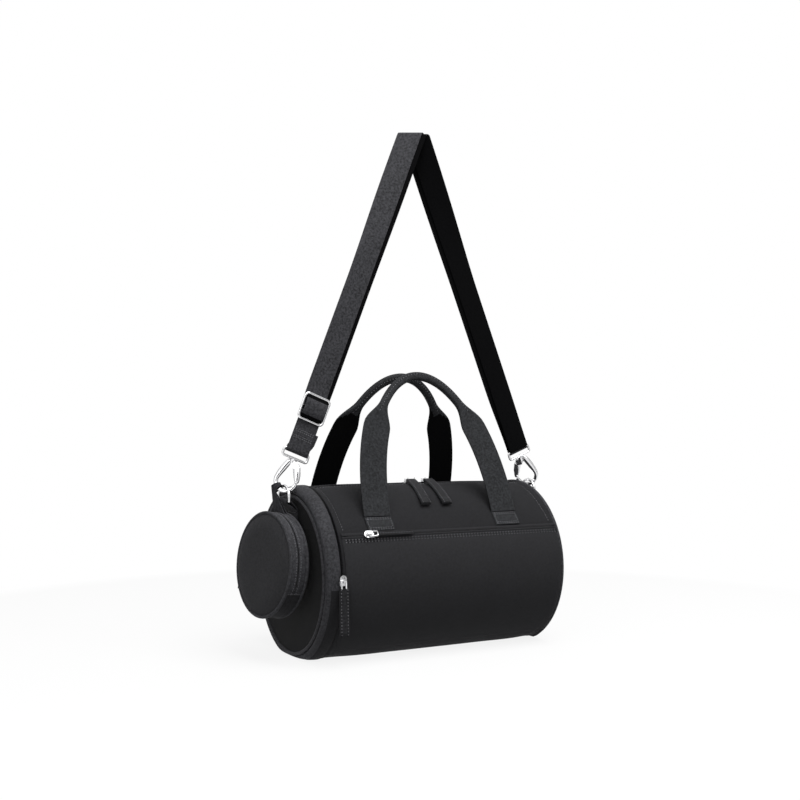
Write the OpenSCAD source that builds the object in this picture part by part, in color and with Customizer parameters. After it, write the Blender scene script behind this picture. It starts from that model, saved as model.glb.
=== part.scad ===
// Small barrel sports bag with two carry handles, a hooked shoulder strap and a round hanging pouch.
// X runs along the barrel, the front faces -Y, and the flat base rests on z = 0.

/* [Bag body] */
// Length of the barrel between its end faces
bag_length = 278; // [220:1:340]
// Diameter of the barrel
bag_diameter = 180; // [150:1:220]
// Depth of the flat base cut into the round
flat_depth = 8; // [5:0.5:12]
// Thickness of the padded body fabric
wall = 3; // [2:0.1:4]
// Thickness of the lining cloth
lining_thick = 1; // [0.6:0.1:1.5]
// Thickness of the stiffening board in the base
board_thick = 2; // [1:0.1:3]
// Width of the end band that carries the end zip
end_band = 17; // [14:0.5:24]
// Depth of the end compartment behind its divider
end_room = 50; // [30:1:70]

/* [Piping] */
// Thickness of the piping cord at the zipped end
piping_d = 4; // [3:0.1:5]
// Distance of the zipped end's piping from the barrel's edge
piping_inset = 11; // [10.5:0.5:16]

/* [Zips] */
// Thickness of a zip tape
tape_thick = 0.7; // [0.5:0.05:1]
// Width of a closed zip coil
coil_w = 3.6; // [3:0.1:5]
// Height of a closed zip coil
coil_h = 1.6; // [1.2:0.1:2.2]
// Width of the opening that the top zip closes
mouth_w = 18; // [14:0.5:26]
// Length of a zip slider
slider_len = 10; // [8:0.5:12]
// Width of a zip slider
slider_w = 7; // [6:0.2:8]
// Thickness of a zip slider
slider_thick = 2; // [1.5:0.1:2.6]
// Length of a top zip pull
top_pull_len = 55; // [30:1:58]
// Width of a cloth zip pull
pull_w = 10; // [6:0.5:12]
// Thickness of a cloth zip pull
pull_thick = 2; // [1.2:0.1:2.4]
// Length of the narrow pocket pull
pocket_pull_len = 42; // [25:1:50]
// Width of the narrow pocket pull
pocket_pull_w = 4.6; // [3:0.2:6]
// Length of the end zip pull
end_pull_len = 44; // [25:1:50]
// Place of the left top slider along the bag
left_main_x = -4; // [-20:1:0]
// Place of the right top slider along the bag
right_main_x = 17; // [10:1:40]
// Sideways drift of the left top pull over its length
left_pull_lean = 11; // [0:1:20]
// Sideways drift of the right top pull over its length
right_pull_lean = 7; // [-10:1:10]
// Place of the pocket's slider along the bag
pocket_slider_x = -92; // [-100:1:-60]
// Angle of the end slider from the top of the barrel towards the front
end_slider_angle = 88; // [0:1:88]

/* [Front pocket] */
// Thickness of the pocket's outer panel
pocket_panel_thick = 2; // [1.5:0.1:3]
// Room between the pocket's outer panel and its back
pocket_room = 7; // [6:0.5:12]
// Angle of the pocket's top edge from the top of the barrel
pocket_top = 62.5; // [60:0.5:75]
// Angle of the pocket's bottom edge from the top of the barrel
pocket_bottom = 141; // [125:1:142]
// Width of the pocket's sewn edge
pocket_rim = 5; // [4:0.5:7]
// Radius of the pocket's rounded lower corner
pocket_corner_r = 22; // [10:1:30]

/* [Carry handles] */
// Width of the handle webbing
handle_w = 30; // [24:1:36]
// Thickness of the handle webbing
handle_thick = 2.4; // [1.6:0.1:3]
// Distance between the two feet of a handle
handle_span = 150; // [120:1:170]
// Height of a handle along its own plane
handle_rise = 151; // [100:1:180]
// Lean of a handle towards the middle of the bag
handle_lean = 19.8; // [12:0.2:20]
// Width of the folded grip
grip_w = 13; // [10:0.5:18]
// Thickness of the folded grip
grip_thick = 8; // [6:0.5:10]
// Length of the stitched patch at each handle foot
patch_len = 15; // [10:0.5:15]
// Angle of the handle feet from the top of the barrel
foot_angle = 48; // [44:0.5:48]

/* [Shoulder strap] */
// Width of the strap webbing
strap_w = 25; // [20:1:30]
// Thickness of the strap webbing
strap_thick = 1.4; // [1.2:0.1:1.5]
// Height of the fold at the top of the raised strap above its eyes
strap_rise = 342.5; // [250:0.5:420]
// Height of the eyes above the top of the barrel
eye_rise = 34.5; // [28:0.5:40]
// Distance of each eye inside the barrel's end face
eye_inset = 3; // [-6:0.5:4]
// Sideways shift between the strap's two layers
layer_shift = 5; // [2:0.5:7]
// Distance of the strap's plane in front of the barrel's centre
strap_front = 9; // [6:0.5:12]
// Turn of the strap's fold away from the bag's length
fold_turn = 29; // [0:1:35]
// Distance from an eye to the middle of the strap slider
slider_up = 46; // [42:1:60]

/* [Hooks and rings] */
// Wire thickness of the D-rings
ring_wire = 3; // [2.4:0.1:3.2]
// Inner width of the D-rings
ring_inner = 22; // [20:0.5:23]
// Wire thickness of the snap hooks
hook_wire = 3.6; // [3:0.1:3.8]
// Radius of a hook's bow
bow_radius = 11; // [10:0.2:12]
// Length of a hook from its bow to its eye
hook_length = 42; // [40:0.5:44]
// Turn of a hook's plane away from the strap's plane
hook_turn = 45; // [40:1:50]
// Wire thickness of the eyes and the strap slider
eye_wire = 2.6; // [2:0.1:3]

/* [Pouch] */
// Diameter of the pouch
pouch_diameter = 104; // [80:1:110]
// Thickness of the pouch from face to back
pouch_thick = 24; // [20:0.5:26]
// Thickness of the pouch's cloth
pouch_wall = 2; // [1.4:0.1:2.6]
// Width of the webbing tab that holds the pouch
pouch_tab_w = 20; // [14:1:24]
// Turn of the pouch's face towards the front
pouch_turn = 8; // [0:1:12]
// Tilt of the pouch's face upwards
pouch_tilt = 5; // [0:0.5:6]
// Angle round the pouch at which its zip starts, from the front
pouch_zip_from = -28; // [-40:1:0]
// Angle that the pouch's zip spans
pouch_zip_turn = 215; // [160:1:220]
// Angle round the pouch at which its slider rests
pouch_slider_turn = 175; // [150:1:178]
// Angle along the hook's bow at which the pouch's tab hangs
pouch_tab_turn = 52; // [48:1:56]

/* [Hidden] */

$fn = 64;
// Overrun of every cutter past what it cuts
over = 1;
// Clearance between pieces that move on one another
gap = 0.35;

cloth = "#333335";
panel_cloth = "#262628";
end_cloth = "#1e1e20";
lining_cloth = "#55555a";
zip_cloth = "#454547";
webbing = "#3c3c3e";
metal = "#c8c8cc";
board = "#6b5f52";

radius = bag_diameter / 2;
axis_z = radius - flat_depth;
left_x = -bag_length / 2;
right_x = bag_length / 2;
inner_r = radius - wall;
lining_r = inner_r - tape_thick;
room_r = lining_r - lining_thick;
body_left = left_x + end_band;
body_right = right_x - piping_d;
end_zip_x = body_left - coil_w / 2 - tape_thick;
divider_x = left_x + wall + end_room;
eye_span = bag_length - 2 * eye_inset;
eye_height = axis_z + radius + eye_rise;
strap_top = eye_height + strap_rise;

// A length of a sector of tube that lies along the barrel, between two angles from the top to the front
module around_barrel(from_angle, to_angle, r_in, r_out, x_from, x_to)
    translate([x_from, 0, axis_z])
        rotate([0, 90, 0])
            rotate([0, 0, 180 + from_angle])
                rotate_extrude(angle = to_angle - from_angle, $fn = 180)
                    translate([r_in, 0])
                        square([r_out - r_in, x_to - x_from]);

// A solid barrel with its underside cut off flat
module flat_barrel(r, floor_z, x_from, x_to)
    intersection() {
        translate([x_from, 0, axis_z])
            rotate([0, 90, 0])
                cylinder(r = r, h = x_to - x_from, $fn = 180);
        translate([x_from - over, -r - over, floor_z])
            cube([x_to - x_from + 2 * over, 2 * (r + over), axis_z + r + over - floor_z]);
    }

// Puts a child on the barrel at an angle from the top, with its Z pointing away from the barrel
module on_barrel(x, angle, r)
    translate([x, -r * sin(angle), axis_z + r * cos(angle)])
        rotate([angle, 0, 0])
            children();

// Body of the bag: one padded cloth from the zip round the base to the zip
pocket_back_r = inner_r - pocket_room;
pocket_rim_angle = pocket_rim / radius * 180 / PI / 2;
pocket_left = end_zip_x + slider_w / 2 + 2 * gap;
pocket_right = body_right - gap;
mouth_left = body_left + 2 * wall;
mouth_right = body_right - 2 * wall;

module pocket_window(r_in, r_out)
    around_barrel(pocket_top + pocket_rim_angle, pocket_bottom, r_in, r_out,
        pocket_left + pocket_rim, pocket_right - pocket_rim);

// Block of the barrel's wall that the front pocket's box takes up
module pocket_block(overrun)
    around_barrel(pocket_top - pocket_rim_angle, pocket_bottom + pocket_rim_angle,
        pocket_back_r - lining_thick, lining_r + overrun,
        pocket_left + pocket_rim - lining_thick, pocket_right - pocket_rim + lining_thick);

module mouth_cut()
    translate([mouth_left, -mouth_w / 2, axis_z])
        cube([mouth_right - mouth_left, mouth_w, radius + over]);

module body_panel() color(cloth)
    difference() {
        flat_barrel(radius, 0, body_left, body_right);
        flat_barrel(inner_r, wall, body_left - over, body_right + over);
        mouth_cut();
        pocket_window(inner_r - over, radius + over);
    }

module body_lining() color(lining_cloth)
    difference() {
        flat_barrel(lining_r, wall, divider_x, body_right);
        flat_barrel(room_r, wall + lining_thick, divider_x - over, body_right + over);
        mouth_cut();
        pocket_block(over);
    }

board_z = wall + lining_thick;
board_top = board_z + board_thick;
board_half = sqrt(pow(room_r, 2) - pow(axis_z - board_z, 2)) - gap;

module base_board() color(board)
    translate([divider_x + lining_thick + gap, -board_half, board_z])
        cube([body_right - divider_x - lining_thick - 2 * gap, 2 * board_half, board_thick]);

module compartment_divider() color(lining_cloth)
    difference() {
        flat_barrel(lining_r, wall, divider_x - lining_thick, divider_x);
        pocket_block(over);
    }

// Closed end: flat disc with a piping cord round its edge
right_piping_r = radius - piping_d / 2;
right_piping_x = right_x - piping_d / 2;

module right_end_panel() color(cloth)
    flat_barrel(right_piping_r - piping_d / 2, piping_d, body_right, right_x);

base_angle = acos(-(axis_z - piping_d / 2) / right_piping_r);
base_half = right_piping_r * sin(base_angle);

module right_piping() color(zip_cloth) {
    translate([right_piping_x, 0, axis_z])
        rotate([0, 90, 0])
            rotate([0, 0, 180 - base_angle])
                rotate_extrude(angle = 2 * base_angle, $fn = 180)
                    translate([right_piping_r, 0])
                        circle(d = piping_d, $fn = 32);
    translate([right_piping_x, base_half, piping_d / 2])
        rotate([90, 0, 0])
            cylinder(d = piping_d, h = 2 * base_half, $fn = 32);
}

// Zipped end: dark disc, piping, cloth rim and the band with the end zip
left_piping_r = radius - piping_inset;
left_disc_r = left_piping_r - piping_d / 2;
rim_thick = wall;
end_band_turn = 94;
rim_band_x = end_zip_x - coil_w / 2 - 2 * tape_thick;

module left_end_panel() color(end_cloth)
    flat_barrel(left_disc_r, 0, left_x, left_x + wall);

module left_piping() color(zip_cloth)
    translate([left_x + tape_thick, 0, axis_z])
        rotate([0, 90, 0])
            rotate_extrude($fn = 180)
                translate([left_piping_r, 0])
                    circle(d = piping_d, $fn = 32);

module end_rim() color(cloth)
    difference() {
        flat_barrel(radius, 0, left_x, rim_band_x);
        flat_barrel(inner_r, -over, left_x + rim_thick, rim_band_x + over);
        flat_barrel(left_piping_r + piping_d / 2, -over, left_x - over, left_x + rim_thick + over);
        around_barrel(end_band_turn, 360 - end_band_turn, inner_r - over, radius + over,
            left_x + rim_thick, rim_band_x + over);
    }

module end_gusset() color(cloth)
    difference() {
        flat_barrel(radius, 0, left_x + rim_thick, body_left - gap);
        flat_barrel(inner_r, wall, left_x, body_left + over);
        around_barrel(-end_band_turn, end_band_turn, inner_r - over, radius + over,
            left_x, body_left + over);
    }

end_tape_r = radius - 2 * tape_thick;

module end_zip_tapes() color(zip_cloth) {
    around_barrel(-end_band_turn, end_band_turn, end_tape_r - tape_thick, end_tape_r,
        rim_band_x, end_zip_x - coil_w / 2);
    around_barrel(-end_band_turn, end_band_turn, end_tape_r - tape_thick, end_tape_r,
        end_zip_x + coil_w / 2, body_left);
}

module end_zip_coil() color(zip_cloth)
    around_barrel(-end_band_turn, end_band_turn, end_tape_r - tape_thick, radius - tape_thick / 2,
        end_zip_x - coil_w / 2, end_zip_x + coil_w / 2);

// Top zip: two tapes under the edges of the mouth, and the coil between them
coil_angle = asin(coil_w / 2 / inner_r);
tape_angle = asin(mouth_w / 2 / inner_r) + asin(pocket_rim / inner_r);
main_coil_top = axis_z + lining_r + coil_h;

module main_zip_tapes() color(zip_cloth) {
    for (from = [-tape_angle, coil_angle])
        around_barrel(from, from + tape_angle - coil_angle, lining_r, inner_r - gap / 2,
            mouth_left - wall, mouth_right + wall);
}

module main_zip_coil() color(zip_cloth)
    translate([mouth_left, -coil_w / 2, axis_z + lining_r])
        cube([mouth_right - mouth_left, coil_w, coil_h]);

stop_len = 7;

module main_zip_stops() color(cloth) {
    for (x = [mouth_left, mouth_right - stop_len])
        translate([x, -mouth_w / 2 + gap, main_coil_top])
            cube([stop_len, mouth_w - 2 * gap, tape_thick]);
}

// Front pocket: an outer panel over a window in the body, and a curved back behind it
pocket_skin = wall * 2 / 5;
pocket_outer_r = radius + pocket_skin;

module pocket_outline() {
    translate([pocket_left + pocket_corner_r, 0])
        square([pocket_right - pocket_left, axis_z + radius]);
    translate([pocket_left, pocket_corner_z])
        square([pocket_corner_r + over, axis_z + radius]);
    translate([pocket_left + pocket_corner_r, pocket_corner_z])
        circle(r = pocket_corner_r);
}

pocket_base_z = axis_z + pocket_outer_r * cos(pocket_bottom);
pocket_corner_z = pocket_base_z + pocket_corner_r - over;

module pocket_panel() color(panel_cloth)
    difference() {
        intersection() {
            around_barrel(pocket_top, pocket_bottom, radius + pocket_skin - pocket_panel_thick,
                pocket_outer_r, pocket_left - over, pocket_right);
            translate([0, over, 0])
                rotate([90, 0, 0])
                    linear_extrude(height = bag_diameter)
                        pocket_outline();
        }
        difference() {
            around_barrel(pocket_top - pocket_rim_angle, pocket_bottom + pocket_rim_angle,
                inner_r, radius, pocket_left - over, pocket_right + over);
            around_barrel(pocket_top + 2 * pocket_rim_angle, pocket_bottom - pocket_rim_angle,
                inner_r - over, radius + over,
                pocket_left + 2 * pocket_rim, pocket_right - 2 * pocket_rim);
        }
    }

module pocket_back() color(lining_cloth)
    difference() {
        pocket_block(0);
        around_barrel(pocket_top, pocket_bottom, pocket_back_r, lining_r + over,
            pocket_left + pocket_rim, pocket_right - pocket_rim);
    }

pocket_coil_angle = pocket_top - coil_w / 2 / radius * 180 / PI;

module pocket_zip_tape() color(zip_cloth)
    around_barrel(pocket_top - 2 * pocket_rim_angle, pocket_top - gap / radius * 180 / PI,
        radius, radius + tape_thick, pocket_left, pocket_right);

module pocket_zip_coil() color(zip_cloth)
    around_barrel(pocket_coil_angle - pocket_rim_angle / 2, pocket_coil_angle + pocket_rim_angle / 2,
        radius + tape_thick, radius + coil_h, pocket_left + pocket_rim, pocket_right - pocket_rim);

// A ribbon swept through stations, each a centre, a half-width vector and a half thickness
function unit(v) = v / norm(v);
function ease(t) = t < 0 ? 0 : t > 1 ? 1 : t * t * (3 - 2 * t);

function section(c, w, t, corner_share) =
    let (k = 1 - corner_share)
    [c - w - k * t, c - w + k * t, c - k * w + t, c + k * w + t,
        c + w + k * t, c + w - k * t, c + k * w - t, c - k * w - t];

module ribbon(stations, corner_share) {
    last = len(stations) - 1;
    points = [for (i = [0 : last])
        let (
            s = stations[i],
            along = stations[min(i + 1, last)][0] - stations[max(i - 1, 0)][0]
        )
        each section(s[0], s[1], s[2] * unit(cross(s[1], along)), corner_share)];
    sides = [for (i = [0 : last - 1], j = [0 : 7])
        let (a = 8 * i + j, b = 8 * i + (j + 1) % 8)
        each j < 4 ? [[a, a + 8, b + 8], [a, b + 8, b]] : [[a, a + 8, b], [b, a + 8, b + 8]]];
    caps = [for (j = [1 : 6])
        each [[0, j, j + 1], [8 * last, 8 * last + j + 1, 8 * last + j]]];
    polyhedron(points, concat(sides, caps));
}

module rod(from, to, d)
    translate(from)
        rotate([0, acos((to - from)[2] / norm(to - from)), atan2((to - from)[1], (to - from)[0])])
            cylinder(d = d, h = norm(to - from), $fn = 24);

// Carry handles: webbing arches sewn down at their feet, folded to a narrow grip at the top
foot_r = radius + handle_thick / 2 + gap;
foot_y = foot_r * sin(foot_angle);
foot_z = axis_z + foot_r * cos(foot_angle);
patch_from = foot_angle + (handle_thick / 2 + gap) / radius * 180 / PI;
patch_to = patch_from + patch_len / radius * 180 / PI;
patch_thick = handle_thick * 3 / 5;
handle_steps = 36;
grip_from_share = 0.62;
grip_full_share = 0.8;
webbing_corner_share = 0.3;

module handle_patches() color(webbing)
    for (x = [-handle_span / 2, handle_span / 2])
        around_barrel(patch_from, patch_to, radius, radius + patch_thick,
            x - handle_w / 2, x + handle_w / 2);

function handle_station(turn) =
    let (
        grip = ease((sin(turn) - grip_from_share) / (grip_full_share - grip_from_share)),
        along = unit([handle_span / 2 * sin(turn), handle_rise * cos(turn)]),
        up = [0, sin(handle_lean), cos(handle_lean)],
        half_w = (handle_w * (1 - grip) + grip_w * grip) / 2,
        half_t = (handle_thick * (1 - grip) + grip_thick * grip) / 2
    )
    [[-handle_span / 2 * cos(turn), -foot_y, foot_z] + handle_rise * sin(turn) * up,
        half_w * ([along[1], 0, 0] - along[0] * up),
        half_t];

module handle() color(webbing)
    ribbon([for (i = [0 : handle_steps]) handle_station(180 * i / handle_steps)],
        webbing_corner_share);

module front_handle_patches() handle_patches();
module back_handle_patches() mirror([0, 1, 0]) handle_patches();
module front_handle() handle();
module back_handle() mirror([0, 1, 0]) handle();

// Zip sliders: a cap over the coil with a bridge that the pull's wire link turns in
link_wire = 1.6;
link_len = 9;
bridge_wall = 1.2;
bridge_w = 2.4;
bridge_room = link_wire + 2 * gap;
link_height = slider_thick + gap + link_wire / 2;
link_half = bridge_w / 2 + gap + link_wire / 2;

module slider_cap(bridge_turn) {
    translate([slider_w / 2 - slider_len / 2, 0, 0])
        cylinder(d = slider_w, h = slider_thick, $fn = 32);
    translate([slider_w / 2 - slider_len / 2, -slider_w / 2, 0])
        cube([slider_len - slider_w / 2, slider_w, slider_thick]);
    rotate([0, 0, bridge_turn]) {
        for (x = [-bridge_room / 2 - bridge_wall, bridge_room / 2])
            translate([x, -bridge_w / 2, slider_thick])
                cube([bridge_wall, bridge_w, bridge_room]);
        translate([-bridge_room / 2 - bridge_wall, -bridge_w / 2, slider_thick + bridge_room])
            cube([bridge_room + 2 * bridge_wall, bridge_w, bridge_wall]);
    }
}

// Wire link along local X, with its bar at the origin and lying across local Y
module wire_link(reach, drop) {
    rod([0, -link_half, 0], [0, link_half, 0], link_wire);
    for (side = [-link_half, link_half]) {
        translate([0, side, 0])
            sphere(d = link_wire, $fn = 24);
        rod([0, side, 0], [reach, side, -drop], link_wire);
    }
}

// Top zip: two sliders that meet in the middle, each with a cloth pull down the front
main_slider_z = main_coil_top + gap;
pull_hinge_z = main_slider_z + link_height;
top_pull_r = radius + 2 * gap + pull_thick / 2;
pull_start = link_len / radius * 180 / PI;
pull_end = pull_start + top_pull_len / top_pull_r * 180 / PI;
pull_steps = 10;

module main_slider(x, facing) color(metal)
    translate([x, 0, main_slider_z])
        rotate([0, 0, facing])
            slider_cap(90);

function draped_station(part, x, lean) =
    let (a = pull_start + (pull_end - pull_start) * part)
    [[x - lean * part, -top_pull_r * sin(a), axis_z + top_pull_r * cos(a)],
        [pull_w / 2, 0, 0],
        pull_thick / 2];

module main_pull(x, lean) {
    color(metal)
        translate([x, 0, pull_hinge_z])
            rotate([0, 0, -90])
                wire_link(top_pull_r * sin(pull_start) + link_wire,
                    pull_hinge_z - axis_z - top_pull_r * cos(pull_start));
    color(webbing)
        ribbon([for (i = [0 : pull_steps]) draped_station(i / pull_steps, x, lean)],
            webbing_corner_share);
}

module left_main_slider() main_slider(left_main_x, 0);
module right_main_slider() main_slider(right_main_x, 180);
module left_main_pull() main_pull(left_main_x, left_pull_lean);
module right_main_pull() main_pull(right_main_x, right_pull_lean);

// Pocket zip: a slider at the pocket's left, with a thin pull lying along the zip
pocket_slider_r = radius + coil_h + gap;
pocket_pull_thick = pull_thick * 7 / 10;
pocket_pull_drop = (link_height - gap - pocket_pull_thick / 2) / 2;
pocket_pull_tilt = asin(pocket_pull_drop / (link_len + pocket_pull_len));

module pocket_slider() color(metal)
    on_barrel(pocket_slider_x, pocket_coil_angle, pocket_slider_r)
        slider_cap(0);

module pocket_pull()
    on_barrel(pocket_slider_x, pocket_coil_angle, pocket_slider_r)
        translate([0, 0, link_height])
            rotate([0, pocket_pull_tilt, 0]) {
                color(metal)
                    wire_link(link_len, 0);
                color(webbing)
                    translate([link_len - link_wire, -pocket_pull_w / 2, -pocket_pull_thick / 2])
                        cube([pocket_pull_len, pocket_pull_w, pocket_pull_thick]);
            }

// End zip: a slider at the front end of the zip, with a cloth pull hanging straight down
end_slider_r = radius + gap;

module end_slider() color(metal)
    on_barrel(end_zip_x, end_slider_angle, end_slider_r)
        rotate([0, 0, -90])
            slider_cap(0);

module end_pull()
    on_barrel(end_zip_x, end_slider_angle, end_slider_r)
        translate([0, 0, link_height])
            rotate([0, 0, -90]) {
                color(metal)
                    wire_link(link_len, 0);
                color(webbing)
                    translate([link_len - link_wire, -pull_w / 2, -pull_thick / 2])
                        cube([end_pull_len, pull_w, pull_thick]);
            }

// Shoulder strap: doubled webbing raised to a fold, with a loop round the eye at each end
ply_out = eye_wire / 2 + gap + strap_thick / 2;
layer_gap = gap / 2;
ply_in = ply_out - strap_thick - layer_gap;
fold_z = strap_top - ply_out - strap_thick / 2;
leg_angle = atan(eye_span / 2 / (fold_z - eye_height + ply_out * PI / 2));
leg_len = (fold_z - eye_height) / cos(leg_angle);
shift_steps = 4;
twist_steps = 14;
fold_steps = 18;
shift_len = 3 * strap_w;
loop_end = slider_up - strap_w / 2;
strap_y = -strap_front;

// The strap lies flat over the lower share of each leg and twists above it, to reach the turned fold
flat_share = 1 / 2;
leg_twist = atan(tan(fold_turn) / cos(leg_angle));
fold_tip = asin(sin(leg_twist) * sin(leg_angle));
fold_slant = asin(sin(leg_angle) * cos(fold_turn));
fold_reach = ply_out * PI / 2 * tan(leg_angle) / cos(fold_turn);
fold_side = [cos(fold_turn), -sin(fold_turn), 0];
fold_back = [sin(fold_turn), cos(fold_turn), 0];

// Places a child at the left eye, with Z up the strap's leg and X across the webbing
module at_left_eye()
    translate([-eye_span / 2, strap_y, eye_height])
        rotate([0, leg_angle, 0])
            children();

// Station on a leg, a distance up from its eye; side is -1 on the left and 1 on the right
function leg_station(side, up_leg, offset, shift) =
    let (
        slide = shift * ease(up_leg / shift_len),
        turned = ease((up_leg / leg_len - flat_share) / (1 - flat_share)),
        twist = leg_twist * turned,
        along = [-side * sin(leg_angle), 0, cos(leg_angle)],
        flat = [cos(leg_angle), 0, side * sin(leg_angle)],
        back = [0, 1, 0],
        across = cos(twist) * flat - sin(twist) * back
            - side * turned * tan(leg_angle) * cos(twist) * along
    )
    [[side * eye_span / 2, strap_y - side * turned * fold_reach * sin(fold_turn), eye_height]
        + up_leg * along + offset * (cos(twist) * back + sin(twist) * flat) + slide * across,
        strap_w / 2 * across,
        strap_thick / 2];

// Distances up a leg at which its webbing has a station
function leg_marks(from) = concat(
    [for (i = [0 : shift_steps]) from + (shift_len - from) * i / shift_steps],
    [for (i = [0 : twist_steps - 1]) leg_len * (flat_share + (1 - flat_share) * i / twist_steps)]);

function fold_station(part, r, shift) =
    let (
        turn = fold_tip + (180 - 2 * fold_tip) * part,
        run = fold_reach * (2 * part - 1) + shift / cos(fold_slant)
    )
    [[0, strap_y, fold_z + r * sin(turn)] + run * fold_side - r * cos(turn) * fold_back,
        strap_w / 2 / cos(fold_slant) * fold_side,
        strap_thick / 2];

module strap_outer_layer() color(webbing)
    let (left = leg_marks(loop_end), right = leg_marks(0))
        ribbon(concat(
            [for (up_leg = left) leg_station(-1, up_leg, -ply_out, -layer_shift / 2)],
            [for (i = [0 : fold_steps]) fold_station(i / fold_steps, ply_out, -layer_shift / 2)],
            [for (i = [len(right) - 1 : -1 : 0]) leg_station(1, right[i], ply_out, -layer_shift / 2)]),
            webbing_corner_share);

module strap_inner_layer() color(webbing)
    let (left = leg_marks(slider_up), right = leg_marks(0))
        ribbon(concat(
            [for (up_leg = left) leg_station(-1, up_leg, -ply_in, layer_shift / 2)],
            [for (i = [0 : fold_steps]) fold_station(i / fold_steps, ply_in, layer_shift / 2)],
            [for (i = [len(right) - 1 : -1 : 0])
                leg_station(1, right[i],
                    ply_in - (ply_in + ply_out) * ease(1 - right[i] / shift_len),
                    layer_shift / 2)]),
            webbing_corner_share);

// Half loop of webbing round an eye's bar, seen along the bar
module loop_profile(r)
    difference() {
        circle(r = r + strap_thick / 2, $fn = 48);
        circle(r = r - strap_thick / 2, $fn = 48);
        translate([-2 * r, 0])
            square([4 * r, 2 * r]);
    }

sewn_len = loop_end * 2 / 3;
ply_lean = 2 * ply_out - strap_thick;

module strap_left_loop() color(webbing)
    at_left_eye()
        translate([-strap_w / 2, 0, 0])
            rotate([90, 0, 90])
                linear_extrude(height = strap_w) {
                    loop_profile(ply_out);
                    translate([-ply_out - strap_thick / 2, 0])
                        square([strap_thick, loop_end]);
                    polygon([[ply_out - strap_thick / 2, 0], [ply_out + strap_thick / 2, 0],
                        [ply_out + strap_thick / 2 - ply_lean, sewn_len / 2],
                        [ply_out + strap_thick / 2 - ply_lean, sewn_len],
                        [ply_out - strap_thick / 2 - ply_lean, sewn_len],
                        [ply_out - strap_thick / 2 - ply_lean, sewn_len / 2]]);
                }

module strap_right_loop() color(webbing)
    mirror([1, 0, 0])
        at_left_eye()
            translate([-strap_w / 2, 0, 0])
                rotate([90, 0, 90])
                    linear_extrude(height = strap_w)
                        loop_profile(ply_out);

// Rounded wire frame in local XZ, with its centre at the origin
module wire_frame(half_w, half_h, corner_r, d) {
    for (x = [-1, 1], z = [-1, 1])
        translate([x * (half_w - corner_r), 0, z * (half_h - corner_r)])
            rotate([90, 0, 0])
                rotate([0, 0, x > 0 ? (z > 0 ? 0 : 270) : (z > 0 ? 90 : 180)])
                    rotate_extrude(angle = 90, $fn = 64)
                        translate([corner_r, 0])
                            circle(d = d, $fn = 24);
    for (x = [-half_w, half_w])
        rod([x, 0, corner_r - half_h], [x, 0, half_h - corner_r], d);
    for (z = [-half_h, half_h])
        rod([corner_r - half_w, 0, z], [half_w - corner_r, 0, z], d);
}

eye_half_w = strap_w / 2 + gap + eye_wire / 2;
eye_half_h = eye_wire * 3 / 2;
eye_corner = eye_wire * 4 / 5;
slider_half_h = strap_w / 2 + eye_wire * 2 / 5;
slider_corner = 3 * eye_wire / 2;
slider_n = ply_out + strap_thick / 2 + gap + eye_wire / 2;

module strap_slider_frame() color(metal)
    at_left_eye()
        translate([0, -slider_n, slider_up]) {
            wire_frame(eye_half_w, slider_half_h, slider_corner, eye_wire);
            rod([-eye_half_w, 0, 0], [eye_half_w, 0, 0], eye_wire);
        }

wrap_half = slider_half_h - eye_wire / 2 - 3 * gap;
wrap_foot = slider_n - ply_out - strap_thick / 2 - gap;

module strap_slider_wrap() color(webbing)
    at_left_eye()
        translate([-strap_w / 2, -slider_n, slider_up])
            rotate([90, 0, 90])
                linear_extrude(height = strap_w)
                    difference() {
                        polygon([[wrap_foot, -wrap_half], [wrap_foot, wrap_half],
                            [wrap_foot - strap_thick, wrap_half],
                            [-ply_out - strap_thick / 2, ply_out],
                            [-ply_out - strap_thick / 2, -ply_out],
                            [wrap_foot - strap_thick, -wrap_half]]);
                        polygon([[wrap_foot + over, -wrap_half], [wrap_foot + over, wrap_half],
                            [wrap_foot, wrap_half - strap_thick],
                            [strap_thick / 2 - ply_out, ply_out - strap_thick / 2],
                            [strap_thick / 2 - ply_out, strap_thick / 2 - ply_out],
                            [wrap_foot, strap_thick - wrap_half]]);
                    }

// Snap hooks: an eye on a swivel stem, a wire hook with an open bow, and a hinged gate
collar_d = 2 * hook_wire;
collar_h = hook_wire;
collar_z = hook_length - 2 * eye_half_h - eye_wire / 2 - collar_h - gap;
stem_d = hook_wire * 7 / 9;
head_h = hook_wire / 2;
head_d = hook_wire * 13 / 12;
gate_hinge_z = collar_z - hook_wire * 3 / 4;
gate_hinge_x = collar_d / 2 + hook_wire / 4;
nose_angle = 350;
nose_z = bow_radius * (1 + sin(nose_angle));
gate_foot_z = nose_z + hook_wire / 2;
gate_d = hook_wire * 8 / 9;
pin_d = hook_wire / 3;
pin_fit = 0.05;
knuckle_d = hook_wire * 11 / 9;
knuckle_w = gate_d;
ear_thick = hook_wire / 4;

// Places a child at the lowest point of the left hook's bow, with Z up the hook
module at_left_bow()
    at_left_eye()
        translate([0, 0, -hook_length])
            rotate([0, 0, -hook_turn])
                children();

module left_strap_eye() color(metal)
    at_left_eye() {
        translate([0, 0, -eye_half_h])
            wire_frame(eye_half_w, eye_half_h, eye_corner, eye_wire);
        translate([0, 0, collar_z - head_h - gap - hook_length])
            cylinder(d = stem_d, h = hook_length - collar_z + head_h + gap - 2 * eye_half_h, $fn = 32);
        translate([0, 0, collar_z - head_h - gap - hook_length])
            cylinder(d = head_d, h = head_h, $fn = 32);
    }

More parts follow.
